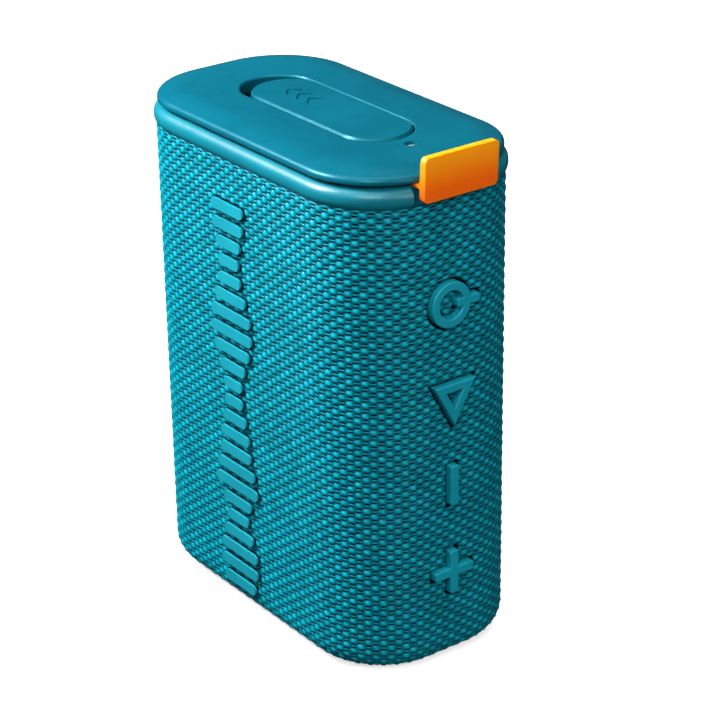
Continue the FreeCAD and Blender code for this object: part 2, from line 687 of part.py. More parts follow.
def make_cabinet():
    """Moulded shell with a floor: windows, grille recesses, button holes, screw pillars."""
    body = new_body("cabinet")
    outline = rounded_box(
        sketch(body, "XY", "cabinet_bottom"), "cabinet_width", "cabinet_depth", "cabinet_radius"
    )
    pad(body, outline, "cabinet_top - cabinet_bottom")
    fillet(body, "Z", "cabinet_bottom", "base_round - fabric_thick")
    cavity = rounded_box(
        sketch(body, "XY", "cabinet_top"),
        "cabinet_width - 2 * wall",
        "cabinet_depth - 2 * wall",
        "cabinet_radius - wall",
    )
    pocket(body, cavity, "cabinet_top - floor_top")
    pillars = sketch(body, "XY", "floor_top - weld")
    four_discs(pillars, "pillar_x", "pillar_y", "pillar_radius")
    pad(body, pillars, "cabinet_top - floor_top + weld")
    bosses = sketch(body, "XY", "floor_top - weld")
    four_discs(bosses, "base_screw_x", "base_screw_y", "boss_radius")
    pad(body, bosses, "boss_height + weld")
    pillar_holes = sketch(body, "XY", "cabinet_top")
    four_discs(pillar_holes, "pillar_x", "pillar_y", "deck_screw_radius + screw_play")
    pocket(body, pillar_holes, "pillar_hole_depth")
    boss_holes = sketch(body, "XY", "cabinet_bottom")
    four_discs(boss_holes, "base_screw_x", "base_screw_y", "case_screw_radius + screw_play")
    pocket(body, boss_holes, "base_screw_reach + hole_spare", back=True)
    cut_front_window(body)
    cut_rear_window(body)
    for number in range(len(BUTTONS)):
        hole = sketch(body, "YZ", "wall_out_x + over", "0", button_height(number))
        pocket(body, disc(hole, "button_radius + button_gap"), "wall + 2 * over")
    return part(body, "cabinet")


def cut_front_window(body):
    recess = sketch(body, "XZ", "wall_out_y", "0", "driver_z")
    pocket(body, disc(recess, "driver_window + grille_lip"), "grille_inset_depth")
    window = sketch(body, "XZ", "wall_out_y", "0", "driver_z")
    pocket(body, disc(window, "driver_window"), "wall + over")
    holes = sketch(body, "XZ", "wall_in_y", "0", "driver_z")
    four_discs(
        holes, "driver_screw_reach", "driver_screw_reach", "speaker_screw_radius + screw_play"
    )
    pocket(body, holes, "speaker_screw_bite + hole_spare", back=True)


def cut_rear_window(body):
    recess = sketch(body, "XZ", "0 - wall_out_y", "0", "driver_z")
    rounded_box(recess, *rear_opening("grille_lip + play"))
    pocket(body, recess, "grille_inset_depth", back=True)
    window = sketch(body, "XZ", "0 - wall_out_y", "0", "driver_z")
    pocket(body, rounded_box(window, *rear_opening("play")), "wall + over", back=True)
    holes = sketch(body, "XZ", "0 - wall_in_y", "0", "driver_z")
    four_discs(holes, *radiator_screw_reach(), "speaker_screw_radius + screw_play")
    pocket(body, holes, "speaker_screw_bite + hole_spare")


def rear_opening(grow):
    """Width, height and corner radius of the radiator's opening, moved outwards."""
    return (
        f"opening_width + 2 * ({grow})",
        f"opening_height + 2 * ({grow})",
        f"window_corner + ({grow})",
    )


def radiator_screw_reach():
    """The radiator's screws sit in its frame's corners, outside the round-ended opening."""
    return "radiator_width / 2 - radiator_screw_in", "radiator_height / 2 - radiator_screw_in"


def make_sleeve():
    """Woven tube with a turned-in hem, cut through for the icons."""
    body = new_body("fabric_sleeve")
    outline = rounded_box(sketch(body, "XY", "foot_height"), *inset("0"))
    pad(body, outline, "fabric_top - foot_height")
    fillet(body, "Z", "foot_height", "base_round")
    inner = new_body("sleeve_inner")
    width, depth, radius = inset("fabric_thick - fabric_ease")
    lining = rounded_box(sketch(inner, "XY", "cabinet_bottom - fabric_ease"), width, depth, radius)
    pad(inner, lining, "fabric_top - cabinet_bottom + over")
    fillet(inner, "Z", "cabinet_bottom - fabric_ease", "base_round - fabric_thick + fabric_ease")
    through = "fabric_thick + 2 * over"
    mouth = plate("sleeve_mouth", *inset("hem_inset"), "foot_height - over", through)
    tools = [inner, mouth]
    for number, name in enumerate(BUTTONS):
        opening = new_body(f"sleeve_opening_{name}")
        for draw in icon_outlines(name, "icon_play", filled=True):
            pad(opening, draw(opening, "wall_out_x - over", number), through)
        tools.append(opening)
    return part(cut("sleeve", body, fuse("sleeve_tools", *tools)), "fabric_sleeve")


def make_base():
    """Plate that closes the hem, its screws and the rubber foot under it."""
    width, depth, radius = inset("hem_inset + 2 * play")
    base = plate("base_plate", width, depth, radius, "foot_height", "fabric_thick")
    holes = sketch(base, "XY", "cabinet_bottom")
    four_discs(holes, "base_screw_x", "base_screw_y", "base_screw_head + screw_play")
    pocket(base, holes, "fabric_thick + over")
    part(base, "base_plate")
    corner_screws(
        "base_screws", "base_screw_x", "base_screw_y", "base_screw_head", "case_screw_radius",
        "foot_height + play", "cabinet_bottom", "cabinet_bottom + base_screw_reach", head_up=False,
    )
    foot = plate("base_foot", *inset("hem_inset + 2 * play + foot_inset"), "0", "foot_height")
    part(foot, "base_foot")


# ---- the top: collar, deck, lid ---------------------------------------------------------


def make_collar():
    """Soft bead between sleeve and lid, notched for the pull tab."""
    body = new_body("collar")
    outline = rounded_box(sketch(body, "XY", "collar_bottom"), *inset("0 - collar_proud"))
    pad(body, outline, "collar_height")
    fillet(body, "Z", "collar_bottom", "collar_round")
    fillet(body, "Z", "platform_top", "collar_round")
    hole = rounded_box(sketch(body, "XY", "platform_top + over"), *inset("platform_inset - play"))
    pocket(body, hole, "collar_height + 2 * over")
    middle = "collar_bottom + collar_height / 2"
    notch = sketch(body, "YZ", "body_width / 2 - notch_inset", "tab_shift", middle)
    width = "tab_width + 2 * notch_side"
    rounded_box(notch, width, "collar_height + 2 * over", "notch_corner")
    pocket(body, notch, "notch_inset + 2 * over", back=True)
    return part(body, "collar")


def make_deck():
    """Closes the cabinet: port bay, finger recess, tail recess, posts for the main board."""
    body = new_body("top_deck")
    rim = rounded_box(
        sketch(body, "XY", "cabinet_top"), "cabinet_width", "cabinet_depth", "cabinet_radius"
    )
    pad(body, rim, "deck_rim")
    platform = rounded_box(sketch(body, "XY", "cabinet_top + weld"), *inset("platform_inset"))
    pad(body, platform, "platform_top - cabinet_top - weld")
    hollow = rounded_box(
        sketch(body, "XY", "cabinet_top"),
        "2 * (pillar_x - pillar_radius - pillar_clear)",
        "2 * (wall_in_y - deck_seat)",
        "deck_hollow_corner",
    )
    pocket(body, hollow, "deck_ceiling - cabinet_top", back=True)
    posts = four_discs(sketch(body, "XY", "main_board_top"), "post_x", "post_y", "post_radius")
    pad(body, posts, "board_drop + weld")
    post_holes = sketch(body, "XY", "main_board_top")
    four_discs(post_holes, "post_x", "post_y", "speaker_screw_radius + screw_play")
    pocket(body, post_holes, "post_hole_depth", back=True)
    cut_deck_bays(body)
    cut_deck_holes(body)
    for side in (-1, 1):
        peg = sketch(body, "XY", "platform_top - weld", "peg_x", f"tab_shift + {side} * peg_reach")
        pad(body, disc(peg, "peg_radius"), "tongue_thick + weld")
    return part(body, "top_deck")


def cut_deck_bays(body):
    bay = sketch(body, "XY", "platform_top", "(bay_left + bay_right) / 2")
    rounded_box(bay, "bay_right - bay_left", "bay_width", "bay_corner")
    pocket(body, bay, "platform_top - bay_floor")
    scoop = sketch(body, "XY", "platform_top", "window_left + window_width / 2")
    stadium(scoop, "window_width + 2 * play", "window_width")
    scoop_cut = pocket(body, scoop, "scoop_depth - lid_thick - groove_gap")
    scoop_cut.Label = "finger recess"
    tail = sketch(body, "XY", "platform_top", "hinge_x + (tail_sweep - tail_back) / 2")
    rounded_box(tail, "tail_sweep + tail_back", "window_width", "bay_corner")
    pocket(body, tail, "platform_top - hinge_z + tail_sweep")


def cut_deck_holes(body):
    usb = sketch(body, "XY", "bay_floor", "usb_at")
    stadium(usb, "usb_width + 2 * play", "usb_depth + 2 * play")
    pocket(body, usb, "bay_floor_thick + over")
    aux = sketch(body, "XY", "bay_floor", "aux_at", "aux_y")
    pocket(body, disc(aux, "aux_neck + play"), "bay_floor_thick + over")
    for radius, x in [("pipe_radius + play", "pinhole_at"), ("boot_radius + play", "0 - pinhole_at")]:
        hole = sketch(body, "XY", "platform_top", x)
        pocket(body, disc(hole, radius), "platform_top - cabinet_top + over")
    counterbores = sketch(body, "XY", "platform_top")
    four_discs(counterbores, "pillar_x", "pillar_y", "deck_screw_head + 2 * play")
    pocket(body, counterbores, "platform_top - cabinet_top - deck_screw_seat")
    shafts = sketch(body, "XY", "platform_top")
    four_discs(shafts, "pillar_x", "pillar_y", "deck_screw_radius + screw_play")
    pocket(body, shafts, "platform_top - cabinet_top + over")
    lid_shafts = sketch(body, "XY", "platform_top")
    four_discs(lid_shafts, "lid_screw_x", "lid_screw_y", "case_screw_radius + screw_play")
    pocket(body, lid_shafts, "platform_top - cabinet_top + over")


def make_lid():
    """Hard top cover with a soft shoulder, the flap's window and the status light's hole."""
    body = new_body("lid")
    pad(body, rounded_box(sketch(body, "XY", "lid_bottom"), *inset("lid_inset")), "lid_thick")
    slope(body, "Z", "body_height", "lid_slope_down", "lid_slope_in")
    if abs(body.Shape.BoundBox.XMax - amount("body_width / 2 - lid_inset")) > 1e-3:
        raise RuntimeError("the lid's shoulder slopes the wrong way")
    fillet(body, "Z", "body_height", "lid_crown_round")
    fillet(body, "Z", "body_height - lid_slope_down", "lid_rim_round")
    fillet(body, "Z", "lid_bottom", "lid_under_round")
    window = sketch(body, "XY", "body_height + over", "(window_left + window_right) / 2")
    stadium(window, "window_right - window_left", "window_width")
    pocket(body, window, "lid_thick + 2 * over")
    slope(body, "Z", "body_height", "window_chamfer", "window_chamfer", keep=in_window)
    bore = sketch(body, "XZ", "0", "hinge_x", "hinge_z")
    disc(bore, "pin_radius + pin_grip")
    pocket(body, bore, "pin_length + 2 * play", both=True)
    blind = sketch(body, "XY", "lid_bottom")
    four_discs(blind, "lid_screw_x", "lid_screw_y", "case_screw_radius + screw_play")
    pocket(body, blind, "lid_screw_reach + hole_spare", back=True)
    hole = sketch(body, "XY", "body_height + over", "pinhole_at")
    pocket(body, disc(hole, "pipe_radius + play"), "lid_thick + 2 * over")
    sink = sketch(body, "XY", "body_height", "pinhole_at")
    pocket(body, disc(sink, "pinhole_sink"), "pinhole_sink_depth")
    return part(body, "lid")


def in_window(edge):
    """True for an edge round the flap's window, near the middle of the lid."""
    box = edge.BoundBox
    half = amount("window_width") / 2 + 0.1
    return box.YMax < half and box.YMin > -half and box.XMax < amount("window_right") + 0.1


def make_lid_gasket():
    """Foam sheet that lifts the lid and leaves the groove; a slot lets the microphone breathe."""
    width, depth, radius = inset("platform_inset + gasket_gap")
    body = plate("lid_gasket", width, depth, radius, "platform_top", "groove_gap")
    window = sketch(body, "XY", "lid_bottom", "(window_left + window_right) / 2")
    length = "window_right - window_left + 2 * gasket_gap"
    stadium(window, length, "window_width + 2 * gasket_gap")
    pocket(body, window, "groove_gap + over")
    slot = sketch(body, "XY", "lid_bottom", "neck_x - root_length / 2", "tab_shift")
    rounded_box(slot, "root_length + 2 * gasket_gap", "tab_width + 2 * gasket_gap", "gasket_gap")
    pocket(body, slot, "groove_gap + over")
    for radius, x in [("pipe_radius", "pinhole_at"), ("boot_radius", "0 - pinhole_at")]:
        hole = sketch(body, "XY", "lid_bottom", x)
        pocket(body, disc(hole, radius + " + gasket_gap"), "groove_gap + over")
    breather = sketch(body, "XY", "lid_bottom", "0 - (pinhole_at + body_width / 2) / 2")
    rounded_box(breather, "body_width / 2 - pinhole_at", "2 * boot_bore", "boot_bore / 2")
    pocket(body, breather, "groove_gap + over")
    rows = [
        ("lid_screw_x", "lid_screw_y", "case_screw_radius + gasket_gap"),
        ("pillar_x", "pillar_y", "deck_screw_head + 2 * play"),
    ]
    for reach_x, reach_y, radius in rows:
        holes = sketch(body, "XY", "lid_bottom")
        pocket(body, four_discs(holes, reach_x, reach_y, radius), "groove_gap + over")
    return part(body, "lid_gasket")


def make_top_screws():
    corner_screws(
        "deck_screws", "pillar_x", "pillar_y", "deck_screw_head", "deck_screw_radius",
        "cabinet_top - pillar_hole_depth + over", "cabinet_top + deck_screw_seat",
        "cabinet_top + deck_screw_seat + deck_screw_head_thick", head_up=True,
    )
    corner_screws(
        "lid_screws", "lid_screw_x", "lid_screw_y", "lid_screw_head", "case_screw_radius",
        "deck_ceiling - case_screw_head_thick", "deck_ceiling", "lid_bottom + lid_screw_reach",
        head_up=False,
    )


# ---- the port flap and the pull tab ---------------------------------------------------------


def make_flap():
    """Stadium flap with a bevelled edge, three lift marks and a bore for its pin."""
    body = new_body("flap")
    outline = sketch(body, "XY", "flap_bottom", "(flap_left + flap_right) / 2")
    pad(body, stadium(outline, "flap_right - flap_left", "flap_width"), "flap_thick")
    slope(body, "Z", "flap_top", "flap_bevel", "flap_bevel")
    chevron = [
        ("0 - mark_reach", "0"),
        ("0", "mark_reach"),
        ("mark_stroke", "mark_reach"),
        ("mark_stroke - mark_reach", "0"),
        ("mark_stroke", "0 - mark_reach"),
        ("0", "0 - mark_reach"),
    ]
    for number in range(3):
        x = f"flap_left + lift_mark_first + {number} * lift_mark_pitch"
        mark = sketch(body, "XY", "flap_top - weld", x)
        pad(body, polygon(mark, chevron), "mark_height + weld")
    bore = sketch(body, "XZ", "0", "hinge_x", "hinge_z")
    disc(bore, "pin_radius + pin_fit")
    pocket(body, bore, "flap_width + 2 * over", both=True)
    part(body, "flap")
    make_seal()
    pin = rod(
        "hinge_pin", "pin_radius", "pin_length", "hinge_x", "0 - pin_length / 2", "hinge_z", "y"
    )
    part(pin, "flap_hinge_pin")


def make_seal():
    """Ring under the flap that fills the rim of the port bay."""
    seal = new_body("flap_seal")
    centre = "(bay_left + bay_right) / 2"
    ring = sketch(seal, "XY", "flap_bottom - seal_height", centre)
    rounded_box(ring, "seal_length", "seal_across", "seal_corner")
    pad(seal, ring, "seal_height")
    inner = sketch(seal, "XY", "flap_bottom", centre)
    rounded_box(
        inner,
        "seal_length - 2 * seal_width",
        "seal_across - 2 * seal_width",
        "seal_corner - seal_width",
    )
    pocket(seal, inner, "seal_height + over")
    part(seal, "flap_seal")


def make_tab():
    """Silicone tab: an upright plate on a neck, and the root clamped under the lid."""
    body = new_body("pull_tab")
    profile = sketch(body, "XZ", "0 - tab_shift")
    top, bottom = "neck_z + tab_rise", "neck_z - tab_drop"
    half = "tongue_thick / 2"
    polygon(
        profile,
        [
            ("neck_x + play", f"neck_z - {half}"),
            ("tab_x", f"neck_z - {half}"),
            ("tab_x", bottom),
            ("tab_x + tab_thick", bottom),
            ("tab_x + tab_thick + tab_lean", top),
            ("tab_x + tab_lean", top),
            ("tab_x", f"neck_z + {half}"),
            ("neck_x + play", f"neck_z + {half}"),
        ],
    )
    pad(body, profile, "tab_width", both=True)
    for level in (top, bottom):
        fillet(body, "Z", level, "tab_round", keep=across_tab)
    part(body, "pull_tab")
    root = new_body("tab_root")
    middle = "neck_x - root_length / 2 - play"
    outline = sketch(root, "XY", "neck_z - tongue_thick / 2", middle, "tab_shift")
    rounded_box(outline, "root_length", "tab_width", "root_corner")
    pad(root, outline, "tongue_thick")
    for side in (-1, 1):
        hole = sketch(root, "XY", "lid_bottom", "peg_x", f"tab_shift + {side} * peg_reach")
        pocket(root, disc(hole, "peg_radius + play"), "groove_gap + over")
    part(root, "tab_root")


def across_tab(edge):
    """True for an edge that runs through the tab's thickness."""
    return edge.BoundBox.YLength < 1e-4 and edge.BoundBox.XLength > 0.5


# ---- buttons ---------------------------------------------------------


def button_height(number):
    return f"button_first + {number} * button_pitch"


def icon_outlines(name, grow, filled=False):
    """Functions that each draw one outline of an icon, in the plane of the button face.

    The icons read with the speaker on its side, so their upward direction is +Y.
    """

    def bar(y, z, width, height):
        def draw(body, level, number):
            item = sketch(body, "YZ", level, y, f"{button_height(number)} + ({z})")
            sides = (f"{width} + 2 * ({grow})", f"{height} + 2 * ({grow})")
            return rounded_box(item, *sides, "icon_corner")

        return draw

    def ring(body, level, number):
        item = sketch(body, "YZ", level, "ring_at", button_height(number))
        disc(item, f"ring_outer + ({grow})")
        return item if filled else disc(item, f"ring_inner - ({grow})")

    def triangle(body, level, number):
        item = sketch(body, "YZ", level, "0", f"{button_height(number)} + triangle_up")
        polygon(item, triangle_corners(f"0 - ({grow})"))
        return item if filled else polygon(item, triangle_corners("triangle_stroke"))

    if name == "power":
        return [ring, bar("tick_at", "0", "tick_length", "tick_width")]
    if name == "play":
        return [triangle]
    if name == "volume_down":
        return [bar("0", "0", "icon_stroke", "minus_length")]
    upright = bar("0", "0", "icon_stroke", "plus_length")
    return [upright, bar("0", "0", "plus_length", "icon_stroke")]


def triangle_corners(stroke):
    """A triangle, point down, whose sides are moved inwards by a stroke."""
    share = f"(1 - ({stroke}) / triangle_in)"
    top = f"0 - ({stroke})"
    return [
        (f"0 - triangle_half * {share}", top),
        (f"triangle_half * {share}", top),
        ("0", f"{top} - triangle_tall * {share}"),
    ]


def make_button(number, name):
    """A rubber button: plunger, disc under the sleeve and raised icon."""
    body = new_body(name)
    face = sketch(body, "YZ", "disc_back_x", "0", button_height(number))
    pad(body, disc(face, "button_radius"), "button_disc")
    reach = "body_width / 2 + icon_proud - disc_front_x + weld"
    for draw in icon_outlines(name, "0"):
        pad(body, draw(body, "disc_front_x - weld", number), reach)
    fillet(body, "X", "body_width / 2 + icon_proud", "icon_round")
    stem = sketch(body, "YZ", "disc_back_x + weld", "0", button_height(number))
    pad(body, disc(stem, "plunger_radius"), "disc_back_x + weld - guide_back_x", back=True)
    return part(body, name + "_button")


def make_islands():
    """Pieces of weave inside the ring and the triangle, glued to their buttons."""
    island = "fabric_thick - 2 * fabric_ease"
    power = new_body("power_island")
    inside = sketch(power, "YZ", "wall_out_x", "ring_at", button_height(3))
    pad(power, disc(inside, "ring_inner - icon_play"), island)
    tick = sketch(power, "YZ", "wall_out_x - over", "tick_at", button_height(3))
    sides = ("tick_length + 2 * icon_play", "tick_width + 2 * icon_play")
    rounded_box(tick, *sides, "icon_corner")
    pocket(power, tick, "fabric_thick + 2 * over", back=True)
    part(power, "power_fabric_inset")
    play = new_body("play_island")
    inside = sketch(play, "YZ", "wall_out_x", "0", f"{button_height(2)} + triangle_up")
    polygon(inside, triangle_corners("triangle_stroke + icon_play"))
    pad(play, inside, island)
    part(play, "play_fabric_inset")


def make_switches():
    """Plunger guide on the cabinet wall, switch board, its four switches and two screws."""
    guide = new_body("button_guide")
    face = sketch(guide, "YZ", "guide_back_x", "0", "(guide_low + guide_high) / 2")
    rounded_box(face, "guide_width", "guide_high - guide_low", "guide_corner")
    pad(guide, face, "guide_thick")
    standoffs = [f"button_first + {k} * button_pitch" for k in (0.5, 2.5)]
    for z in standoffs:
        post = sketch(guide, "YZ", "guide_back_x + weld", "0", z)
        pad(guide, disc(post, "standoff_radius"), "guide_back_x + weld - board_front_x", back=True)
        hole = sketch(guide, "YZ", "board_front_x", "0", z)
        pocket(guide, disc(hole, "switch_screw_radius + screw_play"), "switch_screw_hole", back=True)
    for number in range(len(BUTTONS)):
        hole = sketch(guide, "YZ", "wall_in_x", "0", button_height(number))
        pocket(guide, disc(hole, "plunger_radius + play"), "guide_thick + over")
    part(guide, "button_guide")
    make_switch_board(standoffs)
    switches = []
    for number in range(len(BUTTONS)):
        z = button_height(number)
        half = "switch_side / 2"
        can = block(
            f"switch_can_{number}",
            ("board_front_x", f"0 - {half}", f"{z} - {half}"),
            ("switch_tip_x - switch_stem_out", half, f"{z} + {half}"),
        )
        own = f"switch_stem_{number}"
        stem = rod(own, "switch_stem", "switch_height", "board_front_x", "0", z, "x")
        switches.append(fuse(f"switch_{number}", can, stem))
    part(group("switches", switches), "tact_switches")


def make_switch_board(standoffs):
    """The board behind the switches and the screws that hold it to the guide's posts."""
    low = ("board_back_x", "0 - board_half_width", "guide_low")
    high = ("board_front_x", "board_half_width", "guide_high")
    board = block("switch_board_blank", low, high)
    holes, screws = [], []
    for k, z in enumerate(standoffs):
        across = {"y": "0", "z": z, "along": "x"}
        holes.append(
            rod(
                f"switch_hole_{k}", "switch_screw_radius + screw_play", "board_thick + 2 * over",
                "board_back_x - over", **across,
            )
        )
        head = rod(
            f"switch_screw_head_{k}", "switch_screw_head", "screw_head_thick",
            "board_back_x - screw_head_thick", **across,
        )
        shank = rod(
            f"switch_screw_shank_{k}", "switch_screw_radius",
            "board_thick + switch_screw_hole - hole_spare", "board_back_x", **across,
        )
        screws.append(fuse(f"switch_screw_{k}", head, shank))
    part(cut("switch_board_cut", board, fuse("switch_holes", *holes)), "switch_board")
    part(group("switch_screw_pair", screws), "switch_board_screws")


# ---- loudspeaker and passive radiator ---------------------------------------------------------


def make_front_grille():
    """Round punched sheet in the front window's recess, under the sleeve."""
    body = new_body("front_grille")
    sheet = sketch(body, "XZ", "wall_out_y - play - grille_thick", "0", "driver_z")
    pad(body, disc(sheet, "driver_window + grille_lip - play"), "grille_thick")
    for ring in range(1, 5):
        hole = sketch(body, "XZ", "wall_out_y + over", f"{ring} * grille_pitch", "driver_z")
        first = pocket(body, disc(hole, "grille_hole"), "grille_thick + 2 * over")
        circle = body.newObject("PartDesign::PolarPattern", f"grille_ring_{ring}")
        circle.Originals = [first]
        circle.Axis = (sheet, ["N_Axis"])
        circle.Angle = 360
        circle.Occurrences = 6 * ring
        body.Tip = circle
    return part(body, "front_grille")


def make_rear_grille():
    """Slotted sheet in the rear window's recess."""
    body = new_body("rear_grille")
    sheet = sketch(body, "XZ", "0 - wall_out_y + play", "0", "driver_z")
    pad(body, rounded_box(sheet, *rear_opening("grille_lip")), "grille_thick")
    row_length = "opening_height - 2 * slot_end"
    lowest = f"driver_z - ({row_length}) / 2"
    slot = sketch(body, "XZ", "0 - wall_out_y - over", "0", lowest)
    stadium(slot, "slot_length", "slot_width")
    first = pocket(body, slot, "grille_thick + 2 * over", back=True)
    row = body.newObject("PartDesign::LinearPattern", "grille_row")
    row.Originals = [first]
    row.Direction = (sheet, ["V_Axis"])
    bind(row, "Length", row_length)
    row.Occurrences = 1 + math.ceil(amount(row_length) / amount("slot_pitch") - 1e-6)
    body.Tip = row
    return part(body, "rear_grille")


def make_driver():
    """Full-range loudspeaker behind the front window; its axis lies along Y."""
    ring = {"z": "driver_z", "along": "y"}
    flange = "0 - flange_front_y"
    plane = "0 - flange_back_y"
    gasket = tube(
        "driver_gasket", "driver_window + gasket_ring", "driver_window", "gasket_thick",
        y="0 - wall_in_y", **ring,
    )
    part(gasket, "driver_gasket")
    collar = tube("driver_flange", "driver_radius", "driver_window", "flange_thick", y=flange, **ring)
    holes = [
        rod(
            f"driver_hole_{k}", "speaker_screw_radius + screw_play", "flange_thick + 2 * over",
            f"{sx} * driver_screw_reach", f"{flange} - over",
            f"driver_z + {sz} * driver_screw_reach", "y",
        )
        for k, (sx, sz) in enumerate(MIRRORED)
    ]
    frame = fuse("driver_frame_solid", collar, *make_basket(ring, plane))
    part(cut("driver_frame_drilled", frame, fuse("driver_holes", *holes)), "driver_frame")
    make_diaphragm(ring, plane)
    make_motor(ring, f"{plane} + basket_deep + basket_back_thick")


def make_basket(ring, plane):
    """The frame's open cone and its back."""
    outer = cone("basket_outer", "basket_wide", "basket_narrow", "basket_deep", y=plane, **ring)
    inner = cone(
        "basket_inner", "basket_wide - basket_sheet", "basket_narrow - basket_sheet",
        "basket_deep", y=plane, **ring,
    )
    near, far = f"{plane} + vent_from", f"{plane} + vent_to"
    vents = fuse(
        "basket_vents",
        block(
            "basket_vent_across",
            ("0 - driver_radius", near, "driver_z - vent_half"),
            ("driver_radius", far, "driver_z + vent_half"),
        ),
        block(
            "basket_vent_upright",
            ("0 - vent_half", near, "driver_z - driver_radius"),
            ("vent_half", far, "driver_z + driver_radius"),
        ),
    )
    back = tube(
        "basket_back", "basket_narrow", "basket_back_hole", "basket_back_thick",
        y=f"{plane} + basket_deep", **ring,
    )
    return cut("basket_open", cut("basket_shell", outer, inner), vents), back


def make_diaphragm(ring, plane):
    """Surround and spider stay on the frame; cone, cap and coil move together."""
    part(half_roll("driver_surround", "roll_outer", f"{plane} - roll_sink"), "driver_surround")
    shell_out = cone(
        "cone_outer", "cone_radius", "coil_radius + cone_sheet", "cone_deep", y=plane, **ring
    )
    shell_in = cone(
        "cone_inner", "cone_radius - cone_sheet", "coil_radius", "cone_deep", y=plane, **ring
    )
    part(cut("cone_shell", shell_out, shell_in), "driver_cone")
    cap_out = doc.addObject("Part::Sphere", "cap_out")
    cap_in = doc.addObject("Part::Sphere", "cap_in")
    for ball, radius in ((cap_out, "cap_radius"), (cap_in, "cap_radius - cap_sheet")):
        bind(ball, "Radius", radius)
        place(ball, "0", f"{plane} + cap_back", "driver_z")
    cap_shell = cut("cap_shell", cap_out, cap_in)
    cap_room = rod(
        "cap_room", "coil_radius - play", "cone_deep - play", "0", plane, "driver_z", "y"
    )
    part(common("cap", cap_shell, cap_room), "dust_cap")
    coil = tube(
        "voice_coil", "coil_radius", "coil_radius - coil_thick", "coil_length",
        y=f"{plane} + cone_deep", **ring,
    )
    part(coil, "voice_coil")
    spider = tube(
        "spider", "spider_radius", "coil_radius + moving_gap", "spider_thick",
        y=f"{plane} + spider_at", **ring,
    )
    part(spider, "driver_spider")


def half_roll(name, outer, plane):
    """A hollow half-round ring that bulges towards -Y."""
    rings = []
    for own, section in (("_out", "roll_width / 2"), ("_in", "roll_width / 2 - roll_film")):
        torus = doc.addObject("Part::Torus", name + own)
        bind(torus, "Radius1", f"{outer} - roll_width / 2")
        bind(torus, "Radius2", section)
        rings.append(place(torus, "0", plane, "driver_z", "y"))
    shell = cut(name + "_shell", *rings)
    front = rod(
        name + "_front", "driver_radius", "roll_width", "0", f"{plane} - roll_width",
        "driver_z", "y",
    )
    return common(name + "_half", shell, front)


def make_motor(ring, plane):
    """Top plate, ring magnet and yoke with its pole, stacked behind the basket."""
    top_plate = tube(
        "top_plate", "top_plate_radius", "coil_radius + top_plate_gap", "top_plate_thick",
        y=plane, **ring,
    )
    part(top_plate, "driver_top_plate")
    magnet = tube(
        "magnet", "magnet_radius", "magnet_hole", "magnet_thick",
        y=f"{plane} + top_plate_thick", **ring,
    )
    part(magnet, "driver_magnet")
    stack = "top_plate_thick + magnet_thick"
    pole = rod("yoke_pole", "pole_radius", f"{stack} + pole_short", "0", plane, "driver_z", "y")
    behind = f"{plane} + {stack}"
    back = rod("yoke_back", "top_plate_radius", "top_plate_thick", "0", behind, "driver_z", "y")
    part(fuse("yoke", pole, back), "driver_yoke")


def racetrack(name, level, thick, sides, hole=None):
    """A flat ring or plate of the radiator, standing across Y."""
    body = new_body(name)
    outline = rounded_box(sketch(body, "XZ", level, "0", "driver_z"), *sides)
    pad(body, outline, thick, back=True)
    if hole:
        inner = rounded_box(sketch(body, "XZ", level, "0", "driver_z"), *hole)
        pocket(body, inner, f"{thick} + over")
    return body


def make_radiator():
    """Passive radiator behind the rear window."""
    front, back = "0 - flange_front_y", "0 - flange_back_y"
    hole = rear_opening("play")
    gasket_sides = (
        "radiator_width - 2 * play",
        "radiator_height - 2 * play",
        "radiator_frame_corner - play",
    )
    frame_sides = ("radiator_width", "radiator_height", "radiator_frame_corner")
    rows = [
        ("radiator_gasket", front, "gasket_thick", gasket_sides),
        ("radiator_frame", back, "flange_thick", frame_sides),
    ]
    for name, level, thick, sides in rows:
        body = racetrack(name, level, thick, sides, hole)
        holes = sketch(body, "XZ", level, "0", "driver_z")
        four_discs(holes, *radiator_screw_reach(), "speaker_screw_radius + screw_play")
        pocket(body, holes, f"{thick} + over")
        part(body, name)
    inside = rear_opening("0 - roll_width")
    outside = rear_opening("0")
    surround = racetrack("radiator_surround", back, "radiator_roll", outside, inside)
    fillet(surround, "Y", "flange_back_y + radiator_roll", "radiator_edge")
    part(surround, "radiator_surround")
    moving = rear_opening("0 - roll_width - moving_gap")
    diaphragm = racetrack("radiator_plate", back, "radiator_sheet", moving)
    fillet(diaphragm, "Y", "flange_back_y + radiator_sheet", "radiator_edge")
    part(diaphragm, "radiator_plate")
    behind = "flange_back_y - weight_thick"
    weight = rod("weight", "weight_radius", "weight_thick", "0", behind, "driver_z", "y")
    part(weight, "radiator_weight")


def make_speaker_screws():
    """Eight equal screws: four hold the loudspeaker, four the radiator."""
    shank_length = "flange_thick + gasket_thick + speaker_screw_bite"
    rows = [
        (
            "driver_screw_reach", "driver_screw_reach",
            "0 - flange_back_y", f"0 - flange_back_y - ({shank_length})",
        ),
        (*radiator_screw_reach(), "flange_back_y - screw_head_thick", "flange_back_y"),
    ]
    screws = []
    for reach_x, reach_z, head_y, shank_y in rows:
        for sx, sz in MIRRORED:
            x, z = f"{sx} * ({reach_x})", f"driver_z + {sz} * ({reach_z})"
            own = f"speaker_screw_{len(screws)}"
            head = rod(
                own + "_head", "speaker_screw_head", "screw_head_thick", x, head_y, z, "y"
            )
            shank = rod(own + "_shank", "speaker_screw_radius", shank_length, x, shank_y, z, "y")
            screws.append(fuse(own, head, shank))
    part(group("speaker_screw_set", screws), "speaker_screws")


# ---- battery, boards, sockets ---------------------------------------------------------


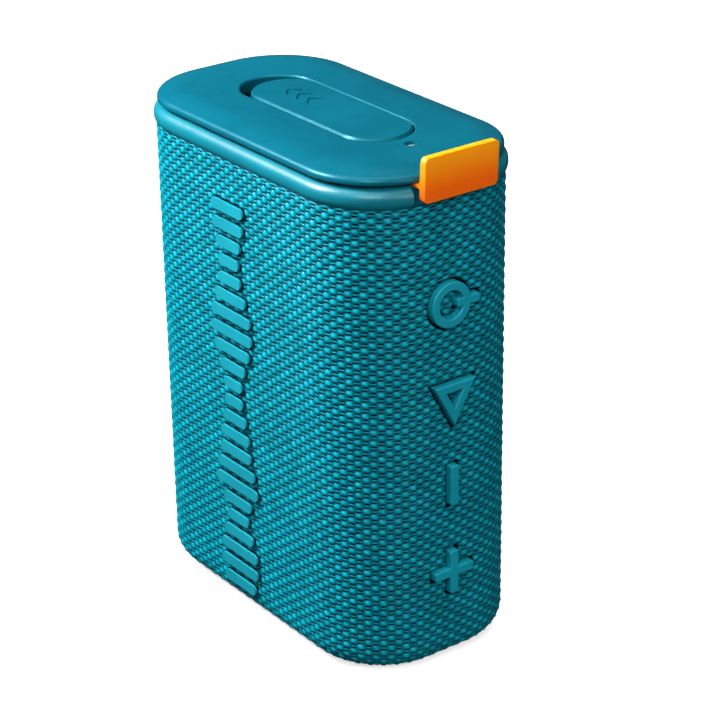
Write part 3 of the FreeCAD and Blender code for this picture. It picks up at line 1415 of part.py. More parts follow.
def make_battery():
    """Round cell in a cradle on the floor, with a strap over it."""
    cell = {"x": "0 - battery_length / 2", "z": "cell_z", "along": "x"}
    part(rod("cell", "battery_radius", "battery_length", **cell), "battery_cell")
    room = rod("cell_room", "battery_radius + play", "battery_length", **cell)
    side = "battery_radius + cradle_thick"
    saddle = block(
        "saddle_blank",
        ("0 - cradle_half_length", f"0 - ({side})", "floor_top"),
        ("cradle_half_length", side, "cell_z - cradle_grip"),
    )
    part(cut("saddle", saddle, room), "battery_cradle")
    inner = "battery_radius + play"
    band = tube(
        "strap_ring", f"{inner} + strap_thick", inner, "strap_width",
        x="0 - strap_width / 2", z="cell_z", along="x",
    )
    above = block(
        "strap_room",
        ("0 - strap_width", f"0 - {inner} - over", "cell_z - cradle_grip + play"),
        ("strap_width", f"{inner} + over", f"cell_z + {inner} + over"),
    )
    part(common("strap", band, above), "battery_strap")


def make_boards():
    """Main board hung from the deck's posts, port board on it, and what they carry."""
    half_w, half_d = "main_board_width / 2", "main_board_depth / 2"
    blank = block(
        "main_board_blank",
        (f"0 - {half_w}", f"0 - {half_d}", "main_board_z"),
        (half_w, half_d, "main_board_top"),
    )
    holes = [
        rod(
            f"board_hole_{k}", "speaker_screw_radius + screw_play", "main_board_thick + 2 * over",
            f"{sx} * post_x", f"{sy} * post_y", "main_board_z - over",
        )
        for k, (sx, sy) in enumerate(MIRRORED)
    ]
    part(cut("main_board_cut", blank, fuse("board_holes", *holes)), "main_board")
    corner_screws(
        "board_screws", "post_x", "post_y", "speaker_screw_head", "speaker_screw_radius",
        "main_board_z - screw_head_thick", "main_board_z", "main_board_top + board_screw_reach",
        head_up=False,
    )
    under, over_board = "main_board_z", "main_board_top"
    lamp, voice = "pinhole_at", "0 - pinhole_at"
    chips = [
        block("radio_can", ("-20", "-5", f"{under} - 1.9"), ("-8", "5", under)),
        block("amplifier_chip", ("0", "-3.5", f"{under} - 1"), ("7", "3.5", under)),
        block("charger_chip", ("11", "-2.5", f"{under} - 0.9"), ("16", "2.5", under)),
        block(
            "status_lamp",
            (f"{lamp} - 0.8", "-0.8", over_board),
            (f"{lamp} + 0.8", "0.8", f"{over_board} + 0.9"),
        ),
        block(
            "microphone",
            (f"{voice} - 1", "-1.5", over_board),
            (f"{voice} + 2", "1.5", f"{over_board} + 1"),
        ),
    ]
    part(group("chips", chips), "board_chips")
    cans = [
        rod(
            f"capacitor_{k}", "capacitor_radius", "capacitor_height",
            f"{k} * capacitor_pitch", "capacitor_pitch", f"{under} - capacitor_height",
        )
        for k in range(3)
    ]
    part(group("capacitors_set", cans), "capacitors")
    port = block(
        "port_board_blank",
        ("usb_at - port_board_left", "port_board_y", "main_board_top + play"),
        ("aux_at + port_board_right", "port_board_y + board_thick", "cabinet_top"),
    )
    part(port, "port_board")


def make_sockets():
    """Power socket and audio socket, mouths level with the floor of the port bay."""
    shell = new_body("usb_socket")
    outline = stadium(sketch(shell, "XY", "bay_floor", "usb_at"), "usb_width", "usb_depth")
    pad(shell, outline, "usb_length", back=True)
    mouth = sketch(shell, "XY", "bay_floor", "usb_at")
    stadium(mouth, "usb_width - 2 * usb_wall", "usb_depth - 2 * usb_wall")
    pocket(shell, mouth, "usb_length - over")
    tongue = sketch(shell, "XY", "bay_floor - usb_length + weld", "usb_at")
    rounded_box(tongue, "usb_tongue_width", "usb_tongue_thick", "play")
    pad(shell, tongue, "usb_length - weld - usb_tongue_short")
    part(shell, "usb_socket")
    half = "aux_side / 2"
    jack = block(
        "jack_block",
        (f"aux_at - {half}", f"aux_y - {half}", "jack_bottom"),
        (f"aux_at + {half}", f"aux_y + {half}", "deck_ceiling - play"),
    )
    low = "deck_ceiling - over"
    neck = rod("jack_neck", "aux_neck", f"bay_floor - ({low})", "aux_at", "aux_y", low)
    bore = rod(
        "jack_bore", "aux_bore", "aux_bore_depth + over", "aux_at", "aux_y",
        "bay_floor - aux_bore_depth",
    )
    part(cut("jack", fuse("jack_solid", jack, neck), bore), "aux_jack")


def make_pipes():
    """Light pipe over the status lamp, and the rubber boot over the microphone."""
    low = "main_board_top + lamp_room"
    pipe_top = "body_height - pipe_below"
    pipe = rod("pipe", "pipe_radius", f"{pipe_top} - ({low})", "pinhole_at", "0", low)
    part(pipe, "light_pipe")
    boot = tube(
        "boot", "boot_radius", "boot_bore", f"platform_top - ({low})", x="0 - pinhole_at", z=low
    )
    part(boot, "mic_boot")


def lead(name, radius, points):
    """A wire held inside: straight runs joined by tangent arcs as large as the runs allow."""
    places = [Vector(*(amount(value) for value in point)) for point in points]
    runs = [(b - a).Length for a, b in zip(places, places[1:])]
    edges = []
    last = places[0]
    for k in range(1, len(places) - 1):
        before = (places[k] - places[k - 1]).normalize()
        after = (places[k + 1] - places[k]).normalize()
        turn = before.getAngle(after)
        bend = 0.45 * min(runs[k - 1], runs[k]) / math.tan(turn / 2)
        reach = bend * math.tan(turn / 2)
        enter, leave = places[k] - before * reach, places[k] + after * reach
        middle = places[k] + (after - before).normalize() * (bend / math.cos(turn / 2) - bend)
        edges += [Part.LineSegment(last, enter).toShape(), Part.Arc(enter, middle, leave).toShape()]
        last = leave
        print(f"{name}: bend radius {bend:.1f}")
    edges.append(Part.LineSegment(last, places[-1]).toShape())
    path = Part.Wire(edges)
    section = Part.Wire([Part.Circle(places[0], places[1] - places[0], radius).toShape()])
    item = doc.addObject("Part::Feature", name)
    item.Shape = path.makePipeShell([section], True, False)
    expected = math.pi * radius**2 * path.Length
    if abs(item.Shape.Volume - expected) > 0.02 * expected:
        raise RuntimeError(f"{name} has the wrong volume")
    item.Placement = Placement()
    return part(item, name)


def make_leads():
    """Battery lead up the far wall, loudspeaker lead, and the ribbon to the switches."""
    cell_end = "0 - battery_length / 2"
    board_end = "0 - main_board_width / 2 + lead_in"
    lead(
        "battery_lead", 1.0,
        [
            (f"{cell_end} - lead_end", "0", "cell_z"),
            (f"{cell_end} - lead_low / 2", "0", "cell_z"),
            (f"{cell_end} - lead_low / 2", "0", "main_board_z - lead_low"),
            (board_end, "0", "main_board_z - lead_low / 2"),
            (board_end, "0", "main_board_z - lead_end"),
        ],
    )
    coil_side = "0 - flange_back_y + 13"
    lead(
        "speaker_lead", 0.8,
        [
            ("10", coil_side, "driver_z + 14"),
            ("10", coil_side, "(driver_z + 14 + main_board_z) / 2"),
            ("20", "0", "main_board_z - 6"),
            ("20", "0", "main_board_z - lead_end"),
        ],
    )
    front, back = "board_back_x - lead_end", "board_back_x - lead_end - ribbon_thick"
    above = "main_board_top + lead_end"
    ribbon = fuse(
        "ribbon_runs",
        block(
            "ribbon_up",
            (back, "ribbon_near", "main_board_top - ribbon_down"),
            (front, "ribbon_far", f"{above} + ribbon_thick"),
        ),
        block(
            "ribbon_over",
            ("main_board_width / 2 - ribbon_in", "ribbon_near", above),
            (front, "ribbon_far", f"{above} + ribbon_thick"),
        ),
    )
    part(ribbon, "switch_ribbon")


# ---- level bars on the front ---------------------------------------------------------


def bar_reach(number):
    """The width of one level bar between its round ends: a wave with one peak near the foot."""
    wave = 3.6 * math.sin(0.93 * number) + 2.4 * math.sin(0.37 * number + 2.0)
    peak = 11.0 * math.exp(-(((number - 6) / 1.3) ** 2))
    return 7.5 + wave + peak


def make_emblem():
    """Raised level bars up the front of the sleeve, like a sound level display."""
    pitch = f"(emblem_high - emblem_low - emblem_bar) / {BAR_COUNT - 1}"
    face = "0 - body_depth / 2"
    front = f"{face} - emblem_thick"
    bars = []
    for number in range(BAR_COUNT):
        half = f"{bar_reach(number) / 2:.3f}"
        z = f"emblem_low + emblem_bar / 2 + {number} * {pitch}"
        own = f"bar_{number}"
        low = (f"emblem_at - {half}", front, f"{z} - emblem_bar / 2")
        high = (f"emblem_at + {half}", face, f"{z} + emblem_bar / 2")
        ends = [
            rod(
                f"{own}_end_{side}", "emblem_bar / 2", "emblem_thick",
                f"emblem_at {side} {half}", front, z, "y",
            )
            for side in "+-"
        ]
        bars.append(fuse(own, block(own + "_middle", low, high), *ends))
    return part(group("level_bars_set", bars), "level_bars")


# ---- build, check, write ---------------------------------------------------------


def build():
    make_cabinet()
    make_sleeve()
    make_base()
    make_collar()
    make_deck()
    make_lid()
    make_lid_gasket()
    make_top_screws()
    make_flap()
    make_tab()
    for number, name in enumerate(BUTTONS):
        make_button(number, name)
    make_islands()
    make_switches()
    make_front_grille()
    make_rear_grille()
    make_driver()
    make_radiator()
    make_speaker_screws()
    make_battery()
    make_boards()
    make_sockets()
    make_pipes()
    make_leads()
    make_emblem()


def check_and_write():
    doc.recompute()
    for item in doc.Objects:
        if {"Invalid", "Error"} & set(item.State):
            raise RuntimeError(f"{item.Label} ({item.Name}) failed: {item.State}")
    os.makedirs("parts", exist_ok=True)
    for item in parts:
        shape = item.Shape
        if shape.isNull() or not shape.isValid() or not shape.Solids:
            raise RuntimeError(f"{item.Label} is not a valid solid")
        shape.exportStep(f"parts/{item.Label}.step")
        print(f"{item.Label}: {len(shape.Solids)} solid(s), {shape.Volume / 1000:.2f} cm3")
    print(len(parts), "nodes")


build()
check_and_write()
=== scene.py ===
"""Portable speaker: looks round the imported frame.  Metres, +Z up, -Y the wide front face.

The woven sleeve is made here as real relief, stitch by stitch, and stands for the plain
skin in the frame.  Every other piece keeps its own shape and gets its finish here.
"""

import json
import math

import bmesh
import bpy
import numpy as np
from mathutils import Matrix, Vector


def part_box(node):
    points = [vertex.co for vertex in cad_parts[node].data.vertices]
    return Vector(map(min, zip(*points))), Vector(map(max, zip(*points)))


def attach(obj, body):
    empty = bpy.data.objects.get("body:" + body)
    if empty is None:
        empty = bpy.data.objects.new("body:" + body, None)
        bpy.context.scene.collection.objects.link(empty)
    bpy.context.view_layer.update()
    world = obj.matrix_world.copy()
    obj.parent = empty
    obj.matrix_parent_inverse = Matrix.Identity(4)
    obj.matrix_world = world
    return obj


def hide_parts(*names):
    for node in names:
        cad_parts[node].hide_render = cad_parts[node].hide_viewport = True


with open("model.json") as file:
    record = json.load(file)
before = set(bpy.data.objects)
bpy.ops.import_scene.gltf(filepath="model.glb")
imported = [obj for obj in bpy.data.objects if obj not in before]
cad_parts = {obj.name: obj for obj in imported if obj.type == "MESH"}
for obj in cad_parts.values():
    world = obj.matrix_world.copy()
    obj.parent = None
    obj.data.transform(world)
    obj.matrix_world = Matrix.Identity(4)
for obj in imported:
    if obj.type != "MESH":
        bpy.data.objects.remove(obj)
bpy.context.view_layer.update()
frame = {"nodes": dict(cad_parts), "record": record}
MM = 0.001

# The cloth, cut and wrapped.
CORNER_RADIUS = 19.0 * MM
BASE_ROUND = 5.5 * MM
HEM_REACH = 8.9 * MM
CLOTH_SINK = 0.38 * MM  # from the sleeve's outline in to the middle of the yarn
TOP_TUCK = 0.75 * MM  # how far the cloth reaches up under the bead
TOP_CURL = 0.45 * MM  # radius over which the cloth turns in under the bead
COLUMNS = 140  # yarn columns round the sleeve, 1.75 mm apart
STITCHES = 46  # stitches from top hem to bottom hem, 2.55 mm apart
STEPS_ACROSS = 6  # mesh steps in one column
STEPS_DOWN = 14  # mesh steps in one stitch
PANELS = 7  # equal panels, so that each mesh stays small
CROWN = 0.26 * MM  # top of a stitch over the valley beside it
PIT = 0.42 * MM  # depth of the holes beside the crossing yarn
CROSSING = 0.12 * MM  # the crossing yarn stands this far above the valleys
SLANT = 0.20  # how far a stitch leans, in columns
STITCH_HALF = 0.37  # half a stitch's length, in stitch pitches
CROSSING_HALF = 0.13  # half the crossing yarn's width, in stitch pitches
YARN_FULLNESS = 2.2  # power of the yarn's section: 2 is a parabola, more is flatter on top
STITCH_VARIES = 0.2  # how much the stitches differ in height
CUT_PLAY = 0.2 * MM  # cloth's cut edge to the icon that stands through it
CUT_ROLL = 0.8 * MM  # width over which a cut edge rolls in
CUT_DROP = 0.85 * MM  # how far it rolls in
CUT_SNAP = 0.16 * MM  # points nearer to a cut than this move onto it
CUT_SLACK = 0.02 * MM  # points on a cut count as cloth up to this far past it
PRESS_REACH = 0.7 * MM  # the hot press flattens the cloth this far beside the level bars
PRESS_FLATTEN = 0.6  # share of the relief that it takes
PRESS_SINK = 0.2 * MM  # how far it pushes the cloth in
BAR_GAP = 0.8 * MM  # points of one level bar lie closer than this in Z, and bars farther apart
INSET_COLUMNS = 9  # yarn columns in each small piece on a button
INSET_ROWS = 5
INSET_SINK = 0.12 * MM  # the small pieces lie this much deeper

# The icons that stand through the narrow face, as seen from +X: Y across, Z up.
BUTTON_FIRST = 23.6 * MM
BUTTON_PITCH = 21.6 * MM
VOLUME_UP, VOLUME_DOWN, PLAY, POWER = range(4)  # from the lowest button to the highest
SIGN_STROKE = 2.3 * MM
MINUS_LENGTH = 9.8 * MM
PLUS_LENGTH = 10.8 * MM
TRIANGLE_HALF = 5.6 * MM
TRIANGLE_TALL = 10.15 * MM
TRIANGLE_TOP = 3.1 * MM  # its flat edge over the middle of the button
TRIANGLE_STROKE = 2.0 * MM
RING_OUTER = 5.25 * MM
RING_INNER = 3.2 * MM
RING_SHIFT = 1.0 * MM  # the ring's centre, towards -Y
DASH_SHIFT = 3.6 * MM  # the dash through the ring, towards +Y
DASH_LENGTH = 6.2 * MM
DASH_STROKE = 2.1 * MM

WAVE_REPEAT = 2 * math.pi / 20  # a wave texture of scale 1 repeats after this


# ---- small tools -----------------------------------------------------------------------


def linear(code):
    """An sRGB hex colour as linear red, green, blue and alpha."""
    parts = [int(code[k : k + 2], 16) / 255 for k in (1, 3, 5)]
    return [c / 12.92 if c <= 0.04045 else ((c + 0.055) / 1.055) ** 2.4 for c in parts] + [1.0]


def add(tree, kind, inputs=None, **settings):
    """A node with its settings; each input is a value or the socket that feeds it."""
    node = tree.nodes.new(kind)
    for name, value in settings.items():
        setattr(node, name, value)
    for name, value in (inputs or {}).items():
        if isinstance(value, bpy.types.NodeSocket):
            tree.links.new(value, node.inputs[name])
        else:
            node.inputs[name].default_value = value
    return node


def start(name, **sockets):
    """A material with its shader, whose constant sockets are set here, and Object coordinates."""
    material = bpy.data.materials.new(name)
    material.use_nodes = True
    tree = material.node_tree
    tree.nodes.clear()
    shader = add(tree, "ShaderNodeBsdfPrincipled", sockets)
    output = add(tree, "ShaderNodeOutputMaterial")
    tree.links.new(shader.outputs["BSDF"], output.inputs["Surface"])
    place = add(tree, "ShaderNodeTexCoord").outputs["Object"]
    return material, tree, shader, place


def feed(tree, shader, **sockets):
    """Links sockets into the shader by name; an underscore stands for a space."""
    for name, socket in sockets.items():
        tree.links.new(socket, shader.inputs[name.replace("_", " ")])


def speckle(tree, place, size, detail=3.0, roughness=0.55, **mapping):
    """Noise whose grains are about this size across."""
    if mapping:
        place = add(tree, "ShaderNodeMapping", {"Vector": place, **mapping}).outputs["Vector"]
    inputs = {"Vector": place, "Scale": 1 / size, "Detail": detail, "Roughness": roughness}
    return add(tree, "ShaderNodeTexNoise", inputs).outputs["Fac"]


def spread(tree, value, low, high, from_low=0.3, from_high=0.7):
    """A number from low to high as the pattern goes from one value to another."""
    inputs = {"Value": value, "From Min": from_low, "From Max": from_high, "To Min": low, "To Max": high}
    return add(tree, "ShaderNodeMapRange", inputs).outputs["Result"]


def between(tree, share, first, second):
    """A colour between two sRGB hex colours."""
    mix = add(tree, "ShaderNodeMix", data_type="RGBA")
    tree.links.new(share, mix.inputs["Factor"])
    mix.inputs["A"].default_value = linear(first)
    mix.inputs["B"].default_value = linear(second)
    return mix.outputs["Result"]


def relief(tree, height, depth, under=None):
    """A bump of this depth in metres, over another bump if there is one."""
    inputs = {"Height": height, "Strength": 1.0, "Distance": depth}
    if under is not None:
        inputs["Normal"] = under
    return add(tree, "ShaderNodeBump", inputs).outputs["Normal"]


def moulded(name, dark, light, roughness, grain, depth, **sockets):
    """A moulded surface: fine spark-eroded grain, faint flow marks, slightly uneven gloss."""
    material, tree, shader, place = start(name, **sockets)
    fine = speckle(tree, place, grain, 4.0)
    flow = speckle(tree, place, 14 * MM, 2.0)
    rubbed = speckle(tree, place, 5 * MM, 5.0, 0.7)
    feed(
        tree,
        shader,
        Base_Color=between(tree, spread(tree, flow, 0.0, 1.0), dark, light),
        Roughness=spread(tree, rubbed, roughness - 0.05, roughness + 0.07),
        Normal=relief(tree, fine, depth),
    )
    return material


# ---- finishes --------------------------------------------------------------------------


def woven_polyester():
    """Twisted polyester yarn: satin crowns that catch the light; painted shade darkens the colour with
    depth, near-black in the holes between.
    """
    material, tree, shader, _ = start(
        "woven_polyester", **{"Sheen Weight": 0.03, "Sheen Roughness": 0.4, "IOR": 1.5}
    )
    # Real yarn reflects white: the tint keeps the lamps from greying the dark colour.
    shader.inputs["Sheen Tint"].default_value = linear("#7fe6f2")
    shader.inputs["Specular Tint"].default_value = linear("#8fe4f0")
    cloth = add(tree, "ShaderNodeUVMap", uv_map="cloth").outputs["UV"]
    rise = add(tree, "ShaderNodeAttribute", attribute_name="rise").outputs["Fac"]
    lot = add(tree, "ShaderNodeAttribute", attribute_name="lot").outputs["Fac"]
    # Painted shade: by height in the weave, the colour goes from light on the crowns to near-black deep
    # in the holes.
    ramp = add(tree, "ShaderNodeValToRGB", {"Fac": rise})
    depth_shade_stops = [(0.0, "#000a10"), (0.32, "#01242f"), (0.62, "#037083"), (1.0, "#05a6b9")]
    for place, code in depth_shade_stops[1:-1]:
        ramp.color_ramp.elements.new(place)
    for element, (place, code) in zip(ramp.color_ramp.elements, depth_shade_stops):
        element.position = place
        element.color = linear(code)
    # The filaments of a yarn are finer than can show: drawn 0.153 mm apart.
    turned = add(
        tree, "ShaderNodeMapping", {"Vector": cloth, "Rotation": (0, 0, math.radians(28))}
    ).outputs["Vector"]
    thread = add(
        tree,
        "ShaderNodeTexWave",
        {"Vector": turned, "Scale": WAVE_REPEAT / 0.15282, "Distortion": 1.2, "Detail": 2.0},
    ).outputs["Fac"]
    fuzz = speckle(tree, cloth, 0.35, 3.0)
    tone = add(
        tree,
        "ShaderNodeHueSaturation",
        {"Color": ramp.outputs["Color"], "Value": spread(tree, lot, 0.86, 1.12, 0.0, 1.0)},
    ).outputs["Color"]
    feed(
        tree,
        shader,
        Base_Color=tone,
        Roughness=spread(tree, fuzz, 0.26, 0.38),
        # Painted shade on the reflection as well: it is weakened deep in the weave.
        Specular_IOR_Level=spread(tree, rise, 0.05, 0.5, 0.35, 0.8),
        Normal=relief(tree, fuzz, 0.006 * MM, relief(tree, thread, 0.012 * MM)),
    )
    return material


def satin_lid():
    """Moulded PC/ABS with a fine spark-eroded satin, broad soft highlights."""
    # Real plastic reflects white: the tint keeps the wide top lamp from greying the lid.
    tint = {"Specular Tint": linear("#7ddcec")}
    return moulded("satin_pc_abs", "#005062", "#01586a", 0.33, 0.35 * MM, 0.006 * MM, IOR=1.55, **tint)


def soft_bead():
    """Thermoplastic rubber, silky to the touch: lighter in colour, soft broad shine."""
    return moulded("silky_tpe", "#026b7d", "#047485", 0.38, 0.5 * MM, 0.008 * MM, IOR=1.5)


def button_silicone():
    """Cast silicone with a talc-soft skin: a shade lighter than the lid."""
    return moulded("button_silicone", "#0a8fa3", "#0c9aae", 0.42, 0.4 * MM, 0.008 * MM, IOR=1.43)


def orange_silicone():
    """Cast silicone that lets light through: its colour is painted lighter towards the top, as the glow
    in the thin top edge.
    """
    material, tree, shader, place = start(
        "cast_silicone", **{"Subsurface Weight": 0.35, "Subsurface Scale": 1.5 * MM, "IOR": 1.43}
    )
    height = add(tree, "ShaderNodeSeparateXYZ", {"Vector": place}).outputs["Z"]
    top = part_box("pull_tab")[1].z
    # Painted light: the glow of light through the thin top edge, as a lighter colour towards the top.
    painted_glow = spread(tree, height, 0.0, 1.0, top - 7.5 * MM, top - 0.8 * MM)
    fine = speckle(tree, place, 0.5 * MM, 4.0)
    rubbed = speckle(tree, place, 4 * MM, 4.0)
    feed(
        tree,
        shader,
        Base_Color=between(tree, painted_glow, "#ff6a00", "#ffa406"),
        Roughness=spread(tree, rubbed, 0.36, 0.5),
        Normal=relief(tree, fine, 0.012 * MM),
    )
    return material


def cyan_mark():
    """Heat-pressed polyurethane film: even colour, slightly pebbled from the press."""
    return moulded("pressed_pu_film", "#0f8a9c", "#1496a8", 0.42, 0.6 * MM, 0.010 * MM, IOR=1.5)


def black_abs():
    """Moulded black ABS with a coarse texture: dull, greyish where light grazes it."""
    return moulded("moulded_black_abs", "#101214", "#191c1e", 0.55, 0.5 * MM, 0.02 * MM, IOR=1.53)


def black_rubber():
    """Moulded nitrile rubber: deep matt black with a dusty bloom."""
    return moulded("nitrile_rubber", "#0c0c0d", "#1c1c1d", 0.72, 0.7 * MM, 0.02 * MM, IOR=1.5)


def cell_foam():
    """Die-cut polyurethane foam: open pores, painted darker as the shade in them, break up its dark grey.
    """
    material, tree, shader, place = start("die_cut_foam", IOR=1.45)
    pores = add(tree, "ShaderNodeTexVoronoi", {"Vector": place, "Scale": 1 / (0.6 * MM)})
    wide = spread(tree, pores.outputs["Distance"], 0.0, 1.0, 0.1, 0.6)
    feed(
        tree,
        shader,
        # Painted shade: the deeper part of each pore is darker.
        Base_Color=between(tree, wide, "#0d0e10", "#3a3d40"),
        Roughness=spread(tree, wide, 0.8, 0.95),
        Normal=relief(tree, wide, 0.12 * MM),
    )
    return material


def plated_steel():
    """Turned steel, zinc plated: bright, with fine turning lines and a faint haze."""
    material, tree, shader, place = start("zinc_plated_steel", Metallic=1.0)
    lines = speckle(tree, place, 1.2 * MM, 6.0, 0.6, Scale=(1, 1, 14))
    haze = speckle(tree, place, 3 * MM)
    feed(
        tree,
        shader,
        Base_Color=between(tree, haze, "#a9adb2", "#d2d4d6"),
        Roughness=spread(tree, haze, 0.24, 0.42),
        Normal=relief(tree, lines, 0.01 * MM),
    )
    return material


def painted_sheet():
    """Punched steel sheet, powder coated black: fine orange peel, dull sparkle."""
    material, tree, shader, place = start(
        "powder_coated_steel", **{"Coat Weight": 0.3, "Coat Roughness": 0.35, "IOR": 1.5}
    )
    peel = speckle(tree, place, 0.9 * MM, 2.0)
    worn = speckle(tree, place, 6 * MM, 6.0)
    feed(
        tree,
        shader,
        Base_Color=between(tree, spread(tree, worn, 0.0, 1.0, 0.45, 0.75), "#131517", "#2b2f33"),
        Roughness=spread(tree, peel, 0.42, 0.6),
        Normal=relief(tree, peel, 0.03 * MM),
    )
    return material


def pressed_paper():
    """Pressed paper pulp: dull charcoal with pale fibres lying every way."""
    material, tree, shader, place = start("pressed_paper_pulp", IOR=1.45)
    fibres = speckle(tree, place, 1.6 * MM, 8.0, 0.75, Scale=(1, 3, 1))
    blots = speckle(tree, place, 4 * MM)
    feed(
        tree,
        shader,
        Base_Color=between(tree, spread(tree, fibres, 0.0, 1.0, 0.4, 0.8), "#17181a", "#4a4a48"),
        Roughness=spread(tree, blots, 0.8, 0.95),
        Normal=relief(tree, fibres, 0.06 * MM),
    )
    return material


def sintered_ferrite():
    """Sintered ferrite: dark brownish grey, ground dull, with small chips."""
    material, tree, shader, place = start("sintered_ferrite", IOR=2.0)
    chips = add(tree, "ShaderNodeTexVoronoi", {"Vector": place, "Scale": 1 / (1.1 * MM)})
    dust = speckle(tree, place, 0.8 * MM, 6.0)
    feed(
        tree,
        shader,
        Base_Color=between(tree, dust, "#1a1918", "#34312f"),
        Roughness=spread(tree, dust, 0.5, 0.75),
        Normal=relief(tree, chips.outputs["Distance"], 0.05 * MM),
    )
    return material


def enamelled_copper():
    """Copper wire wound side by side under clear enamel: fine bright rings, painted brighter on each
    turn's crest and darker in the grooves between.
    """
    material, tree, shader, place = start(
        "enamelled_copper_wire", **{"Metallic": 1.0, "Coat Weight": 0.5, "Coat Roughness": 0.15}
    )
    turned = add(tree, "ShaderNodeMapping", {"Vector": place, "Rotation": (0, 0, math.radians(90))})
    # Wire 0.15 mm thick is drawn with its turns 0.94 mm apart, so that they show.
    turns = add(
        tree,
        "ShaderNodeTexWave",
        {"Vector": turned.outputs["Vector"], "Scale": WAVE_REPEAT / (0.94248 * MM)},
    ).outputs["Fac"]
    feed(
        tree,
        shader,
        # Painted highlight and shade: the colour follows the relief of the turns.
        Base_Color=between(tree, turns, "#7d3a18", "#c8743a"),
        Roughness=spread(tree, turns, 0.25, 0.4, 0.0, 1.0),
        Normal=relief(tree, turns, 0.06 * MM),
    )
    return material


def solder_mask():
    """Glass-fibre board under green solder mask: darker tracks show through as ridges."""
    material, tree, shader, place = start("green_solder_mask", **{"Coat Weight": 0.4, "IOR": 1.55})
    tracks = add(
        tree,
        "ShaderNodeTexBrick",
        {
            "Vector": place,
            "Scale": 1 / (9 * MM),
            "Mortar Size": 0.03,
            "Color1": (0, 0, 0, 1),
            "Color2": (0, 0, 0, 1),
            "Mortar": (1, 1, 1, 1),
        },
        offset=0.37,
        squash=0.6,
    ).outputs["Color"]
    weave = speckle(tree, place, 1.0 * MM, 2.0)
    feed(
        tree,
        shader,
        Base_Color=between(tree, tracks, "#0c4a2a", "#1c7a48"),
        Roughness=spread(tree, weave, 0.3, 0.45),
        Normal=relief(tree, tracks, 0.03 * MM, relief(tree, weave, 0.01 * MM)),
    )
    return material


def epoxy_package():
    """Transfer-moulded epoxy: black-grey, matt, very fine pits."""
    return moulded("moulded_epoxy", "#141516", "#222426", 0.6, 0.25 * MM, 0.012 * MM, IOR=1.55)


def aluminium_can():
    """Drawn aluminium can: bright with lengthwise draw lines."""
    material, tree, shader, place = start("drawn_aluminium", Metallic=1.0)
    lines = speckle(tree, place, 2.4 * MM, 5.0, 0.6, Scale=(9, 9, 1))
    feed(
        tree,
        shader,
        Base_Color=between(tree, lines, "#b9bcc0", "#dcdee0"),
        Roughness=spread(tree, lines, 0.22, 0.4),
        Normal=relief(tree, lines, 0.012 * MM),
    )
    return material


def shrink_film():
    """Blue PVC sleeve shrunk on the cell: glossy with small ripples."""
    material, tree, shader, place = start(
        "shrunk_pvc_film", **{"Coat Weight": 0.6, "Coat Roughness": 0.12, "IOR": 1.53}
    )
    ripples = speckle(tree, place, 5 * MM, 2.0, 0.5, Scale=(0.4, 1, 1))
    feed(
        tree,
        shader,
        Base_Color=between(tree, ripples, "#0c3f8c", "#1555b0"),
        Roughness=spread(tree, ripples, 0.25, 0.38),
        Normal=relief(tree, ripples, 0.15 * MM),
    )
    return material


def wire_jacket():
    """Extruded silicone jacket: smooth dull red with faint rings from the die."""
    material, tree, shader, place = start("extruded_silicone_jacket", IOR=1.43)
    rings = speckle(tree, place, 1.4 * MM, 3.0, 0.5, Scale=(1, 1, 5))
    feed(
        tree,
        shader,
        Base_Color=between(tree, rings, "#8a1712", "#ab231b"),
        Roughness=spread(tree, rings, 0.4, 0.55),
        Normal=relief(tree, rings, 0.02 * MM),
    )
    return material


def ribbon_film():
    """Polyimide film with copper lines inside: amber with darker stripes along it."""
    material, tree, shader, place = start("polyimide_film", **{"Coat Weight": 0.3, "IOR": 1.7})
    across = add(tree, "ShaderNodeMapping", {"Vector": place, "Rotation": (0, 0, math.radians(90))})
    # Such film has its lines 0.5 to 1 mm apart; they are drawn 1.57 mm apart, so that they show.
    stripes = add(
        tree,
        "ShaderNodeTexWave",
        {"Vector": across.outputs["Vector"], "Scale": WAVE_REPEAT / (1.5708 * MM)},
    ).outputs["Fac"]
    feed(
        tree,
        shader,
        Base_Color=between(tree, stripes, "#8a4a10", "#c77a22"),
        Roughness=spread(tree, stripes, 0.25, 0.4, 0.0, 1.0),
        Normal=relief(tree, stripes, 0.02 * MM),
    )
    return material


def clear_acrylic():
    """Moulded acrylic rod: clear, faintly milky, so that a lamp's light spreads in it."""
    material, tree, shader, place = start(
        "milky_acrylic", **{"Transmission Weight": 0.7, "IOR": 1.49}
    )
    milk = speckle(tree, place, 1.5 * MM)
    feed(
        tree,
        shader,
        Base_Color=between(tree, milk, "#dfeaec", "#f4fafa"),
        Roughness=spread(tree, milk, 0.15, 0.3),
        Normal=relief(tree, milk, 0.005 * MM),
    )
    return material


FINISHES = {
    "woven_fabric": woven_polyester,
    "cabinet_plastic": black_abs,
    "teal_rubber": soft_bead,
    "teal_plastic": satin_lid,
    "cyan_print": cyan_mark,
    "orange_silicone": orange_silicone,
    "black_rubber": black_rubber,
    "foam": cell_foam,
    "steel": plated_steel,
    "punched_sheet": painted_sheet,
    "paper_cone": pressed_paper,
    "magnet_ceramic": sintered_ferrite,
    "copper_wire": enamelled_copper,
    "circuit_board": solder_mask,
    "chip_black": epoxy_package,
    "capacitor_can": aluminium_can,
    "cell_wrap": shrink_film,
    "lead_jacket": wire_jacket,
    "ribbon_film": ribbon_film,
    "clear_pipe": clear_acrylic,
}


def finish_frame():
    """Each node of the frame takes the finish of its slot; the buttons take their own."""
    made = {slot: maker() for slot, maker in FINISHES.items()}
    buttons = button_silicone()
    for row in frame["record"]["subparts"]:
        node = frame["nodes"][row["node"]]
        node.data.materials.clear()
        button = row["node"].endswith("_button")
        node.data.materials.append(buttons if button else made[row["material_slot"]])
    return made


# ---- the woven sleeve ------------------------------------------------------------------


